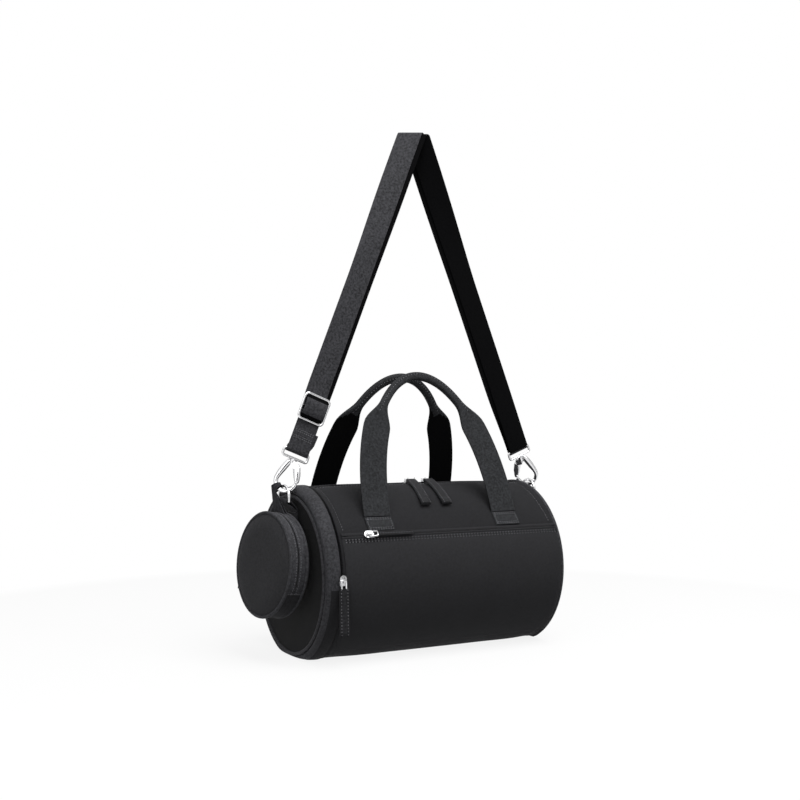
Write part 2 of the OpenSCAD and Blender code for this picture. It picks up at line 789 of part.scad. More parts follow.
module left_hook() color(metal)
    at_left_bow() {
        translate([0, 0, bow_radius])
            rotate([90, 0, 0])
                rotate([0, 0, 180])
                    rotate_extrude(angle = nose_angle - 180, $fn = 96)
                        translate([bow_radius, 0])
                            circle(d = hook_wire, $fn = 24);
        rod([-bow_radius, 0, bow_radius], [-collar_d / 2, 0, collar_z + collar_h / 2], hook_wire);
        translate([-bow_radius, 0, bow_radius])
            sphere(d = hook_wire, $fn = 24);
        difference() {
            union() {
                translate([0, 0, collar_z])
                    cylinder(d = collar_d, h = collar_h, $fn = 48);
                for (y = [-knuckle_w / 2 - gap - ear_thick, knuckle_w / 2 + gap])
                    translate([0, y, gate_hinge_z - hook_wire / 2])
                        cube([gate_hinge_x + hook_wire / 2, ear_thick, collar_z + hook_wire - gate_hinge_z]);
            }
            translate([0, 0, gate_hinge_z - hook_wire])
                cylinder(d = head_d + 2 * gap, h = collar_z - gate_hinge_z + hook_wire, $fn = 48);
            translate([0, 0, collar_z - over])
                cylinder(d = stem_d + 2 * pin_fit, h = collar_h + 2 * over, $fn = 48);
            translate([gate_hinge_x, knuckle_w, gate_hinge_z])
                rotate([90, 0, 0])
                    cylinder(d = pin_d, h = 2 * knuckle_w, $fn = 32);
        }
    }

module left_gate_pin() color(metal)
    at_left_bow()
        translate([gate_hinge_x, knuckle_w / 2 + gap + ear_thick, gate_hinge_z])
            rotate([90, 0, 0])
                cylinder(d = pin_d, h = knuckle_w + 2 * (gap + ear_thick), $fn = 32);

module left_hook_gate() color(metal)
    at_left_bow()
        difference() {
            union() {
                rod([gate_hinge_x, 0, gate_hinge_z], [bow_radius, 0, gate_foot_z], gate_d);
                translate([gate_hinge_x, knuckle_w / 2, gate_hinge_z])
                    rotate([90, 0, 0])
                        cylinder(d = knuckle_d, h = knuckle_w, $fn = 32);
            }
            translate([gate_hinge_x, knuckle_w, gate_hinge_z])
                rotate([90, 0, 0])
                    cylinder(d = pin_d + 2 * pin_fit, h = 2 * knuckle_w, $fn = 32);
        }

// The right hook is the left one turned half round the bag's upright, so both show the same face
module turned_hook()
    translate([0, 2 * strap_y, 0])
        rotate([0, 0, 180])
            children();

module right_strap_eye() mirror([1, 0, 0]) left_strap_eye();
module right_hook() turned_hook() left_hook();
module right_gate_pin() turned_hook() left_gate_pin();
module right_hook_gate() turned_hook() left_hook_gate();

// D-rings on webbing tabs, sewn to the end faces
bow_x = -eye_span / 2 - hook_length * sin(leg_angle);
bow_z = eye_height - hook_length * cos(leg_angle);
ring_r = ring_inner / 2 + ring_wire / 2;
ring_leg = ring_wire;
ring_x = bow_x + hook_wire / 2;
ring_z = bow_z - ring_r + ring_wire + hook_wire / 2;
ring_bar_z = ring_z - ring_leg;
tab_thick = strap_thick * 5 / 7;
tab_loop_r = ring_wire / 2 + gap;
tab_w = ring_inner - 2 * gap;
tab_low = ring_bar_z - ring_inner * 4 / 3;
tab_bend = ring_bar_z - ring_inner / 3;

module left_ring() color(metal)
    translate([ring_x, strap_y, ring_z]) {
        rotate([90, 0, 90])
            rotate_extrude(angle = 180, $fn = 96)
                translate([ring_r, 0])
                    circle(d = ring_wire, $fn = 24);
        for (y = [-ring_r, ring_r]) {
            rod([0, y, -ring_leg], [0, y, 0], ring_wire);
            translate([0, y, -ring_leg])
                sphere(d = ring_wire, $fn = 24);
        }
        rod([0, -ring_r, -ring_leg], [0, ring_r, -ring_leg], ring_wire);
    }

module left_ring_tab() color(webbing)
    translate([0, strap_y + tab_w / 2, 0])
        rotate([90, 0, 0])
            linear_extrude(height = tab_w) {
                translate([left_x - 2 * tab_thick, tab_low])
                    square([2 * tab_thick, tab_bend - tab_low]);
                difference() {
                    union() {
                        polygon([[left_x, tab_bend - tab_thick], [left_x, tab_bend],
                            [ring_x, ring_bar_z + tab_loop_r + tab_thick],
                            [ring_x, ring_bar_z - tab_loop_r - tab_thick],
                            [left_x - 2 * tab_thick, tab_bend - 2 * tab_thick]]);
                        translate([ring_x, ring_bar_z])
                            circle(r = tab_loop_r + tab_thick, $fn = 48);
                    }
                    translate([ring_x, ring_bar_z])
                        circle(r = tab_loop_r, $fn = 48);
                }
            }

module right_ring() mirror([1, 0, 0]) left_ring();
module right_ring_tab() mirror([1, 0, 0]) left_ring_tab();

// Round pouch on a webbing tab that loops over the left hook's bow
pouch_r = pouch_diameter / 2;
pouch_back_x = bow_x - pouch_wall;
pouch_y = strap_y - pouch_wall;
pouch_drop = pouch_r + pouch_tab_w + pouch_wall;
pouch_z = bow_z - pouch_drop;
pouch_zip_z = pouch_thick / 2;

// Places a child on the pouch's back face, with Z out of its front and Y up
module at_pouch()
    translate([pouch_back_x, pouch_y, pouch_z])
        rotate([0, 0, pouch_turn])
            rotate([0, pouch_tilt, 0])
                rotate([90, 0, -90])
                    children();

module pouch_back_panel() color(panel_cloth)
    at_pouch()
        cylinder(r = pouch_r - pouch_wall, h = pouch_wall, $fn = 120);

module pouch_front_panel() color(panel_cloth)
    at_pouch()
        translate([0, 0, pouch_thick - pouch_wall])
            cylinder(r = pouch_r - pouch_wall, h = pouch_wall, $fn = 120);

module pouch_side_wall() color(cloth)
    at_pouch()
        difference() {
            rotate_extrude($fn = 120)
                difference() {
                    union() {
                        translate([0, pouch_wall])
                            square([pouch_r, pouch_thick - 2 * pouch_wall]);
                        square([pouch_r - pouch_wall, pouch_thick]);
                        for (z = [pouch_wall, pouch_thick - pouch_wall])
                            translate([pouch_r - pouch_wall, z])
                                circle(r = pouch_wall, $fn = 32);
                    }
                    translate([-over, pouch_wall])
                        square([pouch_r - pouch_wall + over, pouch_thick - 2 * pouch_wall]);
                    translate([-over, -over])
                        square([pouch_r - pouch_wall + over, pouch_thick + 2 * over]);
                }
            translate([0, 0, pouch_zip_z - coil_w / 2])
                rotate([0, 0, pouch_zip_from])
                    rotate_extrude(angle = pouch_zip_turn, $fn = 120)
                        translate([pouch_r - pouch_wall - over, 0])
                            square([pouch_wall + 2 * over, coil_w]);
        }

module pouch_zip_coil() color(zip_cloth)
    at_pouch()
        translate([0, 0, pouch_zip_z - coil_w / 2])
            rotate([0, 0, pouch_zip_from])
                rotate_extrude(angle = pouch_zip_turn, $fn = 120)
                    translate([pouch_r - pouch_wall, 0])
                        square([pouch_wall - tape_thick / 2, coil_w]);

module at_pouch_zip()
    at_pouch()
        translate([0, 0, pouch_zip_z])
            rotate([0, 0, pouch_slider_turn])
                translate([pouch_r + gap, 0, 0])
                    rotate([90, 0, 90])
                        children();

module pouch_slider() color(metal)
    at_pouch_zip()
        slider_cap(0);

pouch_pull_len = top_pull_len / 2;

module pouch_pull()
    at_pouch_zip()
        translate([0, 0, link_height]) {
            color(metal)
                wire_link(link_len, 0);
            color(webbing)
                translate([link_len - link_wire, -pocket_pull_w / 2, -pocket_pull_thick / 2])
                    cube([pouch_pull_len, pocket_pull_w, pocket_pull_thick]);
        }

pouch_loop_w = hook_wire * 3 / 2;
pouch_foot_z = pouch_zip_z - slider_w / 2 - 4 * tab_thick;
pouch_loop_r = hook_wire * 5 / 8 + gap;

module at_pouch_loop()
    at_left_bow()
        translate([-bow_radius * sin(pouch_tab_turn), 0, bow_radius * (1 - cos(pouch_tab_turn))])
            rotate([0, pouch_tab_turn, 0])
                children();

module pouch_tab() color(webbing) {
    at_pouch_loop()
        rotate([0, 90, 0])
            difference() {
                cylinder(r = pouch_loop_r + tab_thick, h = pouch_loop_w, center = true, $fn = 48);
                cylinder(r = pouch_loop_r, h = pouch_loop_w + over, center = true, $fn = 48);
            }
    hull() {
        at_pouch_loop()
            translate([-pouch_loop_w / 2, -tab_thick, -pouch_loop_r - tab_thick])
                cube([pouch_loop_w, 2 * tab_thick, tab_thick / 2]);
        at_pouch()
            translate([-pouch_tab_w / 2, pouch_r, pouch_foot_z])
                cube([pouch_tab_w, tab_thick / 2, 2 * tab_thick]);
    }
}

body_panel();
body_lining();
base_board();
compartment_divider();
right_end_panel();
right_piping();
left_end_panel();
left_piping();
end_rim();
end_gusset();
end_zip_tapes();
end_zip_coil();
main_zip_tapes();
main_zip_coil();
main_zip_stops();
pocket_panel();
pocket_back();
pocket_zip_tape();
pocket_zip_coil();
front_handle_patches();
back_handle_patches();
left_ring_tab();
right_ring_tab();
left_ring();
right_ring();
front_handle();
back_handle();
left_main_slider();
left_main_pull();
right_main_slider();
right_main_pull();
pocket_slider();
pocket_pull();
end_slider();
end_pull();
strap_outer_layer();
strap_inner_layer();
strap_left_loop();
strap_right_loop();
left_strap_eye();
right_strap_eye();
strap_slider_frame();
strap_slider_wrap();
left_hook();
right_hook();
left_hook_gate();
right_hook_gate();
left_gate_pin();
right_gate_pin();
pouch_front_panel();
pouch_back_panel();
pouch_side_wall();
pouch_zip_coil();
pouch_tab();
pouch_slider();
pouch_pull();
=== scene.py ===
from math import asin, atan, ceil, copysign, cos, degrees, dist, exp, hypot, pi, radians, sin, sqrt, tan

import bmesh
import bpy
from mathutils import Matrix, Vector, noise


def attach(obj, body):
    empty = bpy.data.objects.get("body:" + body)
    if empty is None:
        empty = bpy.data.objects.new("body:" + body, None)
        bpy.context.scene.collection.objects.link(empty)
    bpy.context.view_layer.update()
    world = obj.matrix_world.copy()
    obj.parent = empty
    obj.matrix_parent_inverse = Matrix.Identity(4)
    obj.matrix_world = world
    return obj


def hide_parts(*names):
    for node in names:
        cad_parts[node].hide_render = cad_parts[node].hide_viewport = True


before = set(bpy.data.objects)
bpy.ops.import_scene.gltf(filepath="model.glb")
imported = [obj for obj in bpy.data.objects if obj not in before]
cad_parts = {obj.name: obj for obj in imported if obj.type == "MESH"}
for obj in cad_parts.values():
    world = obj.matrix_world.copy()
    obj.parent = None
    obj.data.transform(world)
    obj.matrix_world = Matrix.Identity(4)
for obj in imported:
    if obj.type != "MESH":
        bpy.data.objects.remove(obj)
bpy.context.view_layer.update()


# Photographer's table: a white paper sweep under soft boxes. The paper is seen as plain white,
# but it keeps the bag's faint shadow. The camera stands a little to the left, at the bag's height.

class Flow:
    """A value on its way through a material. Sums written with it add Math nodes."""

    def __init__(self, bench, socket):
        self.bench = bench
        self.socket = socket

    def maths(self, operation, *terms):
        return self.bench.node("ShaderNodeMath", {"operation": operation}, dict(enumerate(terms)))

    def other(self, output):
        return Flow(self.bench, self.socket.node.outputs[output])

    def __add__(self, term):
        return self.maths("ADD", self, term)

    def __sub__(self, term):
        return self.maths("SUBTRACT", self, term)

    def __mul__(self, term):
        return self.maths("MULTIPLY", self, term)


class Bench:
    """The nodes of a world or a material."""

    def __init__(self, tree):
        self.tree = tree

    def node(self, kind, settings=None, inputs=None):
        made = self.tree.nodes.new(kind)
        for name, value in (settings or {}).items():
            setattr(made, name, value)
        self.feed(made, inputs or {})
        return Flow(self, made.outputs[0])

    def feed(self, made, inputs):
        for name, value in inputs.items():
            if isinstance(value, Flow):
                self.tree.links.new(value.socket, made.inputs[name])
            else:
                made.inputs[name].default_value = value

    def white_rays(self):
        """1 where the camera, a reflection or a refraction looks."""
        path = self.node("ShaderNodeLightPath")
        rays = path.other("Is Camera Ray") + path.other("Is Glossy Ray") + path.other("Is Transmission Ray")
        return rays.maths("MINIMUM", rays, 1.0)


class Finish(Bench):
    """One material. Constants go on its shader's own sockets."""

    def __init__(self, name, constants):
        self.material = bpy.data.materials.new(name)
        self.material.use_nodes = True
        super().__init__(self.material.node_tree)
        self.shader = self.tree.nodes["Principled BSDF"]
        self.feed(self.shader, constants)


def onto_scene(name, data):
    """A new object in the scene."""
    made = bpy.data.objects.new(name, data)
    bpy.context.scene.collection.objects.link(made)
    return made


def as_mesh(name, bm, *finishes):
    """A bmesh made into a mesh, with its materials."""
    mesh = bpy.data.meshes.new(name)
    bm.to_mesh(mesh)
    bm.free()
    for finish in finishes:
        mesh.materials.append(finish.material)
    return mesh


def lay_sheet(name, finish, half, place, cuts, seen=True):
    """A flat sheet beside the bag. One that isn't seen only shows in reflections."""
    sheet_bm = bmesh.new()
    bmesh.ops.create_grid(sheet_bm, x_segments=cuts, y_segments=cuts, size=half, matrix=place)
    sheet = onto_scene(name, as_mesh(name, sheet_bm, finish))
    if not seen:
        sheet.visible_camera = sheet.visible_diffuse = False
        sheet.visible_shadow = sheet.visible_transmission = False


def turned_by(turn, axis):
    """A rotation by a turn in degrees."""
    return Matrix.Rotation(radians(turn), 4, axis)


MATT = {"Roughness": 1.0, "Specular IOR Level": 0.0}
SHEET_HALF, SHEET_DROP = 6.0, 0.0004
ROOM_LIGHT = 0.42
paper = Finish("paper", MATT)
paper.feed(paper.shader, {"Base Color": paper.white_rays() * 0.68 + 0.18})
away = paper.node("ShaderNodeVectorMath", {"operation": "LENGTH"},
                  {0: paper.node("ShaderNodeTexCoord").other("Object")}).other("Value")
whiteness = away.maths("MULTIPLY_ADD", away, 2.2, -0.55)
whiteness = whiteness.maths("MAXIMUM", whiteness, 0.86)
whiteness = whiteness.maths("MINIMUM", whiteness, 1.0) * paper.white_rays()
glow = paper.node("ShaderNodeEmission", None, {"Color": (1.0, 1.0, 1.0, 1.0), "Strength": 1.0})
lit = Flow(paper, paper.shader.outputs[0])
shown = paper.node("ShaderNodeMixShader", None, {0: whiteness, 1: lit, 2: glow})
paper.tree.links.new(shown.socket, paper.tree.nodes["Material Output"].inputs["Surface"])
lay_sheet("paper_sweep", paper, SHEET_HALF, Matrix.Translation((0.0, 0.0, -SHEET_DROP)), cuts=8)

world = bpy.data.worlds.new("studio")
bpy.context.scene.world = world
world.use_nodes = True
studio = Bench(world.node_tree)
studio.feed(world.node_tree.nodes["Background"], {
    "Color": (1.0, 1.0, 1.0, 1.0),
    "Strength": studio.white_rays() * (1.0 - ROOM_LIGHT) + ROOM_LIGHT,
})

for name, spot, turns, size, power in (
        ("soft_box_above", (0.15, -0.75, 1.6), (22, 5, 0), 1.2, 27.0),
        ("soft_box_left", (-1.5, -1.1, 0.9), (58, 0, -54), 1.0, 9.0)):
    lamp = bpy.data.lights.new(name, "AREA")
    lamp.shape = "SQUARE"
    lamp.size = size
    lamp.energy = power
    box = onto_scene(name, lamp)
    box.location = spot
    box.rotation_euler = [radians(angle) for angle in turns]

black_card = Finish("black_card", {"Base Color": (0.01, 0.01, 0.01, 1.0), **MATT})
CARD_HALF_H = 0.4
for name, spot, turn, width in (
        ("card_left", (-0.95, -0.75, 0.45), 50, 0.5), ("card_right", (0.55, -1.15, 0.4), -24, 0.55),
        ("card_behind", (0.9, 0.5, 0.5), -120, 0.8), ("card_far_left", (-0.8, 0.75, 0.4), 130, 0.6)):
    place = Matrix.Translation(spot) @ turned_by(-turn, "Z") @ turned_by(90, "X")
    size = Matrix.Diagonal((width / 2, CARD_HALF_H, 1.0, 1.0))
    lay_sheet(name, black_card, 1.0, place @ size, cuts=2, seen=False)

camera = onto_scene("camera", bpy.data.cameras.new("camera"))
camera.location = (-0.5943, -1.0423, 0.2274)
camera.rotation_euler = (radians(91.58), 0.0, radians(-29.21))
camera.data.sensor_width = 36.0
camera.data.lens = 50.05
bpy.context.scene.camera = camera
bpy.context.scene.view_settings.view_transform = "Standard"


# Body cloth: one padded panel of dense woven polyester. It is rolled from one edge of the top zip
# round the base to the other edge, and top-stitched beside the zip and beside both end seams.
# Lengths here and below are in millimetres, and turns in degrees from the top towards the front.

MM = 0.001
AXIS_Z, BODY_R = 82.0, 90.0
BODY_ARC = radians(BODY_R)
BODY_LEFT, BODY_RIGHT = -123.4, 135.0
MOUTH_LEFT, MOUTH_RIGHT = -116.0, 129.0
MOUTH_TURN = degrees(asin(9.0 / BODY_R))
WINDOW_TOP, WINDOW_BOTTOM, WINDOW_LEFT, WINDOW_RIGHT = 64.1, 141.0, -115.3, 129.6
WINDOW_CORNER = 18.0
SEAM_INSET, LIP_SEAM_TURN = 6.5, 3.4
FLOOR_ROUND = 2.5


def dye(code, strength):
    """Linear colour of a hex code, made stronger or weaker."""
    parts = [int(code[k:k + 2], 16) / 255 for k in (1, 3, 5)]
    linear = [p / 12.92 if p <= 0.04045 else ((p + 0.055) / 1.055) ** 2.4 for p in parts]
    return (*(part * strength for part in linear), 1.0)


def woven(name, colour, pitch, relief, rib=0.0, mottle=0.16, roughness=0.82, sheen=0.03, specular=0.14):
    """Cloth whose threads follow its own weave map; rib turns the plain weave into slanted ribs."""
    cloth = Finish(name, {"Specular IOR Level": specular, "Sheen Weight": sheen, "Sheen Roughness": 0.35,
                          "Sheen Tint": (0.5, 0.5, 0.56, 1.0)})
    grain = cloth.node("ShaderNodeSeparateXYZ", None, {0: cloth.node("ShaderNodeUVMap", {"uv_map": "weave"})})
    across, along = grain.other("X"), grain.other("Y")
    turn = 2 * pi / pitch
    warp = (across * turn).maths("SINE", across * turn + along * (turn * rib))
    weft = along.maths("SINE", along * turn)
    threads = warp * (1.0 - rib) * weft + warp * rib
    spot = cloth.node("ShaderNodeTexCoord").other("Object")
    cloud = cloth.node("ShaderNodeTexNoise", None, {"Vector": spot, "Scale": 34.0, "Detail": 3.0})
    fleck = cloth.node("ShaderNodeTexNoise", None, {"Vector": spot, "Scale": 430.0, "Detail": 3.0,
                                                    "Roughness": 0.7})
    shade = cloud * mottle + fleck * (mottle * 6.0) + threads * (0.12 + rib * 0.3)
    tone = cloth.node("ShaderNodeMix", {"data_type": "RGBA"}, {
        0: shade + 0.5 - mottle * 3.5, 6: dye(colour, 0.3), 7: dye(colour, 1.7)})
    bump = cloth.node("ShaderNodeBump", None, {"Strength": 0.8, "Distance": relief * MM,
                                               "Height": threads * 0.5 + fleck * 0.6})
    cloth.feed(cloth.shader, {"Base Color": tone.other(2), "Normal": bump,
                              "Roughness": fleck * 0.2 + (roughness - 0.1)})
    return cloth


def circle(turn, r=1.0):
    """X and Y of a point on a circle, at a turn in degrees."""
    return r * cos(radians(turn)), r * sin(radians(turn))


def on_barrel(x, turn, r):
    """A point on the barrel, at a turn from its top towards its front."""
    up, forward = circle(turn, r)
    return Vector((x, -forward, AXIS_Z + up))


def off_barrel(turn):
    """The way straight out of the barrel."""
    up, forward = circle(turn)
    return Vector((0, -forward, up))


def soft_floor(z):
    """A height kept over the floor, with the corner where the barrel meets it rounded off."""
    return (z + sqrt(z * z + FLOOR_ROUND * FLOOR_ROUND)) / 2


def steps(*marks, pitch):
    """Numbers that run through the marks, about a pitch apart."""
    run = [marks[0]]
    for start, end in zip(marks, marks[1:]):
        count = max(1, ceil(abs(end - start) / pitch))
        run += [start + (end - start) * (k + 1) / count for k in range(count)]
    return run


def faces_at(verts):
    """The faces that some vertices have, each once."""
    return list(dict.fromkeys(face for vert in verts for face in vert.link_faces))


def lay_cloth(bm, across, along, place, grain=None, cut_out=None, second=None):
    """Cloth with a thread crossing at place(a, b) for each pair of the two lists, less what
    cut_out(a, b) takes. Where second(a, b) holds, it is of the piece's second finish."""
    made = bmesh.ops.create_grid(bm, x_segments=len(across) - 1, y_segments=len(along) - 1, size=1.0)["verts"]
    spots = {}
    for vert in made:
        spots[vert] = (across[round((vert.co.x + 1) / 2 * (len(across) - 1))],
                       along[round((vert.co.y + 1) / 2 * (len(along) - 1))])
    weave = bm.loops.layers.uv.get("weave") or bm.loops.layers.uv.new("weave")
    waste = []
    for face in faces_at(made):
        for loop in face.loops:
            loop[weave].uv = (grain or (lambda a, b: (a, b)))(*spots[loop.vert])
        middle = [sum(spots[v][k] for v in face.verts) / 4 for k in (0, 1)]
        if cut_out and cut_out(*middle):
            waste.append(face)
        if second and second(*middle):
            face.material_index = 1
    for vert, spot in spots.items():
        vert.co = place(*spot)
    bmesh.ops.delete(bm, geom=waste, context="FACES")
    kept = [vert for vert in made if vert.is_valid]
    bmesh.ops.remove_doubles(bm, verts=kept, dist=0.0005)
    return [vert for vert in kept if vert.is_valid]


def thicken(bm, thickness):
    """Gives an open sheet its wall, on the side away from its normals."""
    bmesh.ops.solidify(bm, geom=bm.faces[:], thickness=thickness)


def face_outwards(bm):
    bmesh.ops.recalc_face_normals(bm, faces=bm.faces[:])


def hang(name, bm, finish, body, slot, *stands_for):
    """Makes a piece of a bmesh, and hangs it on its body."""
    bmesh.ops.scale(bm, vec=(MM, MM, MM), verts=bm.verts[:])
    mesh = as_mesh(name, bm, *(finish if isinstance(finish, tuple) else (finish,)))
    mesh.shade_smooth()
    mesh.set_sharp_from_angle(angle=radians(48))
    piece = onto_scene(name, mesh)
    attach(piece, body)
    if stands_for:
        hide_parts(*stands_for)
    return piece


def sew(bm, path, pitch=3.2, length=1.7, width=0.42, shade_dot=0.0):
    """A row of stitches along a path of points, each given with the way out of the cloth. Where a dot radius
    is given, a near-black dot of that radius, in the second finish, lies after each stitch: painted shade
    where the needle went in."""
    travelled, due = 0.0, pitch / 2
    for (start, out), (end, _) in zip(path, path[1:]):
        reach = (end - start).length
        while due <= travelled + reach and reach > 0:
            spot = start.lerp(end, (due - travelled) / reach)
            along = (end - start).normalized()
            side = out.cross(along).normalized()
            turned = Matrix((along, side, out.normalized())).transposed().to_4x4()
            size = Matrix.Diagonal((length / 2, width, width * 0.9, 1.0))
            bmesh.ops.create_icosphere(bm, subdivisions=1, radius=1.0,
                                       matrix=Matrix.Translation(spot) @ turned @ size)
            # Painted shade where the needle went in: a flat near-black dot after the stitch.
            if shade_dot:
                shade_dot_place = Matrix.Translation(spot + along * pitch / 2) @ turned
                shade_dot_place = shade_dot_place @ Matrix.Diagonal((shade_dot, shade_dot, width * 0.5, 1.0))
                made = bmesh.ops.create_icosphere(bm, subdivisions=1, radius=1.0, matrix=shade_dot_place)["verts"]
                for face in faces_at(made):
                    face.material_index = 1
            due += pitch
        travelled += reach


def barrel_row(turns, xs, r, surface=None):
    """Path from one turn and x to another, for a row of stitches. It lies on the barrel, or on a surface
    near it that is a function of turn and x."""
    count = max(2, int(abs(turns[1] - turns[0]) / 2) + 2, int(abs(xs[1] - xs[0]) / 20) + 2)
    row = []
    for k in range(count):
        turn = turns[0] + (turns[1] - turns[0]) * k / (count - 1)
        x = xs[0] + (xs[1] - xs[0]) * k / (count - 1)
        spot = surface(turn, x) if surface else on_barrel(x, turn, r)
        spot.z = max(spot.z, 0.2)
        row.append((spot, off_barrel(turn)))
    return row


def ease(part):
    """0 to 1, slow at both ends."""
    part = min(1.0, max(0.0, part))
    return part * part * (3 - 2 * part)


def body_point(turn, x):
    """A place on the body cloth: rolled in at its edges, dented by its seams, drawn at both ends, and a
    little uneven."""
    folded = min(turn, 360 - turn)
    edges = (x - BODY_LEFT, BODY_RIGHT - x)
    rolled = max(0.0, 1 - min(edges) / 4) ** 2
    lip = max(0.0, 1 - max(0.0, folded - MOUTH_TURN) * BODY_ARC / 3) ** 2
    seam = sum(exp(-((edge - SEAM_INSET) / 1.2) ** 2) for edge in edges)
    r = BODY_R - 1.2 * rolled - 0.9 * lip - 0.35 * seam
    open_cloth = 1 - ease((turn - 46) / 10) * ease((156 - turn) / 10)
    drawn = sum(1.7 * open_cloth * edge / 9 * exp(1 - edge / 9) for edge in edges)
    soft = noise.noise(on_barrel(x, turn, r) / 42) * min(1.0, (folded - MOUTH_TURN) / 12 + 0.2)
    spot = on_barrel(x, turn, r + 0.7 * soft - drawn)
    spot.z = soft_floor(spot.z)
    return spot


def corner_in(up, radius):
    """How far in a rounded lower corner has come, at a height over its foot."""
    up = max(0.0, up)
    return radius - sqrt(radius ** 2 - (radius - up) ** 2) if up < radius else 0.0


def in_mouth(turn, x):
    return min(turn, 360 - turn) < MOUTH_TURN and MOUTH_LEFT < x < MOUTH_RIGHT


def in_window(turn, x):
    left = WINDOW_LEFT + corner_in((WINDOW_BOTTOM - turn) * BODY_ARC, WINDOW_CORNER)
    return WINDOW_TOP < turn < WINDOW_BOTTOM and left < x < WINDOW_RIGHT


body_cloth = woven("body_cloth", "#202022", 0.55, 0.10)
body_bm = bmesh.new()
lay_cloth(body_bm,
          steps(0.0, MOUTH_TURN, MOUTH_TURN + 2, WINDOW_TOP, WINDOW_BOTTOM, 360 - MOUTH_TURN - 2,
                360 - MOUTH_TURN, 360.0, pitch=3.0),
          steps(BODY_LEFT, BODY_LEFT + 1.3, BODY_LEFT + 2.6, BODY_LEFT + 4, MOUTH_LEFT, WINDOW_LEFT,
                BODY_LEFT + 9, BODY_RIGHT - 9, MOUTH_RIGHT, WINDOW_RIGHT, BODY_RIGHT - 4, BODY_RIGHT - 2.6,
                BODY_RIGHT - 1.3, BODY_RIGHT, pitch=3.5),
          body_point,
          grain=lambda turn, x: (turn * BODY_ARC, x),
          cut_out=lambda turn, x: in_mouth(turn, x) or in_window(turn, x))
thicken(body_bm, 3.0)
hang("body_panel_cloth", body_bm, body_cloth, "bag", "body_cloth", "body_panel")

# The thread is black polyester; its light grey colour is painted highlight, for the gleam the thread catches.
thread = woven("black_thread_painted_highlight", "#6c6c70", 0.4, 0.05, roughness=0.55, specular=0.3)
# Near-black dots after the stitches: painted shade where the needle went through the cloth.
painted_hole_shade = woven("painted_hole_shade", "#050506", 0.4, 0.05, roughness=0.9, specular=0.05)
sewn = (thread, painted_hole_shade)
body_seams = bmesh.new()
for x in (BODY_LEFT + SEAM_INSET, BODY_RIGHT - SEAM_INSET):
    for turns in ((MOUTH_TURN + 4, 58), (360 - MOUTH_TURN - 4, 206)):
        sew(body_seams, barrel_row(turns, (x, x), BODY_R, body_point), shade_dot=0.5)
for turn in (MOUTH_TURN + LIP_SEAM_TURN, 360 - MOUTH_TURN - LIP_SEAM_TURN):
    sew(body_seams, [(body_point(turn, x), off_barrel(turn))
                     for x in steps(MOUTH_LEFT - 1, MOUTH_RIGHT + 1, pitch=6.0)], shade_dot=0.5)
hang("body_stitching", body_seams, sewn, "bag", "body_cloth")


# Top zip: two ribbed nylon tapes under the lips of the mouth, a moulded coil where they meet,
# and a folded cloth stop sewn over each end of it.

ZIP_R, TAPE_THICK, TOOTH_PITCH = 87.0, 0.6, 1.5
STOP_LENGTH, STOP_HALF_W, STOP_Z = 7.0, 8.6, 170.5


def close_zip(name, rows, body, *stands_for, length=0.95, width=1.25):
    """A closed coil: rows of moulded teeth that lie half a tooth's pitch apart."""
    teeth_bm = bmesh.new()
    for row in rows:
        sew(teeth_bm, row, pitch=TOOTH_PITCH, length=length, width=width)
    hang(name, teeth_bm, zip_teeth, body, "zip", *stands_for)


zip_tape = woven("zip_tape", "#1c1c1e", 0.9, 0.12, rib=0.15, roughness=0.75)
zip_teeth = woven("zip_teeth", "#151517", 0.5, 0.02, roughness=0.38, specular=0.4)
tapes_bm = bmesh.new()
for side in (1, -1):
    lay_cloth(tapes_bm, steps(1.0, 10.5, pitch=1.2), steps(MOUTH_LEFT - 3, MOUTH_RIGHT + 3, pitch=8.0),
              lambda a, b: on_barrel(b, side * a, ZIP_R - 0.4 * max(0.0, 1 - a / 3)),
              grain=lambda a, b: (a * 1.5, b))
face_outwards(tapes_bm)
thicken(tapes_bm, TAPE_THICK)
hang("top_zip_tapes", tapes_bm, zip_tape, "bag", "zip", "main_zip_tapes")
close_zip("top_zip_coil", [[(Vector((x + shift, y, AXIS_Z + ZIP_R)), Vector((0, 0, 1)))
                            for x in (MOUTH_LEFT + 0.5, MOUTH_RIGHT - 1.5)]
                           for shift, y in ((0.0, 0.95), (TOOTH_PITCH / 2, -0.95))], "bag", "main_zip_coil")

stops_bm = bmesh.new()
for x in (MOUTH_LEFT, MOUTH_RIGHT - STOP_LENGTH):
    middle = x + STOP_LENGTH / 2
    lay_cloth(stops_bm, steps(x, x + STOP_LENGTH, pitch=1.0), steps(-STOP_HALF_W, STOP_HALF_W, pitch=1.5),
              lambda a, b: Vector((a, b, STOP_Z - 0.7 * abs((a - middle) / (STOP_LENGTH / 2)) ** 6
                                   - 0.25 * abs(b / STOP_HALF_W) ** 6)))
thicken(stops_bm, TAPE_THICK)
hang("top_zip_stops", stops_bm, body_cloth, "bag", "body_cloth", "main_zip_stops")


# Front pocket: a panel of finer, darker cloth over a window in the body. It is hemmed along the top
# with two rows of stitches, and turned under at its rounded lower corner. A curved back makes the pocket.

POCKET_TOP, POCKET_BOTTOM = 62.5, 141.0
POCKET_LEFT, POCKET_RIGHT = -120.3, 134.6
POCKET_R, POCKET_CORNER, POCKET_WEAVE = 91.2, 22.0, 255.0
POCKET_ARC = radians(POCKET_R)
HEM_ROWS = (2.2, 4.6)
WELL_TOP, WELL_BOTTOM, WELL_LEFT, WELL_RIGHT = 60.9, 142.6, -116.3, 130.6
LINING_THICK = 0.9


def pocket_left(turn):
    """Left side of the panel, which is round at its lower corner."""
    return POCKET_LEFT + corner_in((POCKET_BOTTOM - turn) * POCKET_ARC, POCKET_CORNER)


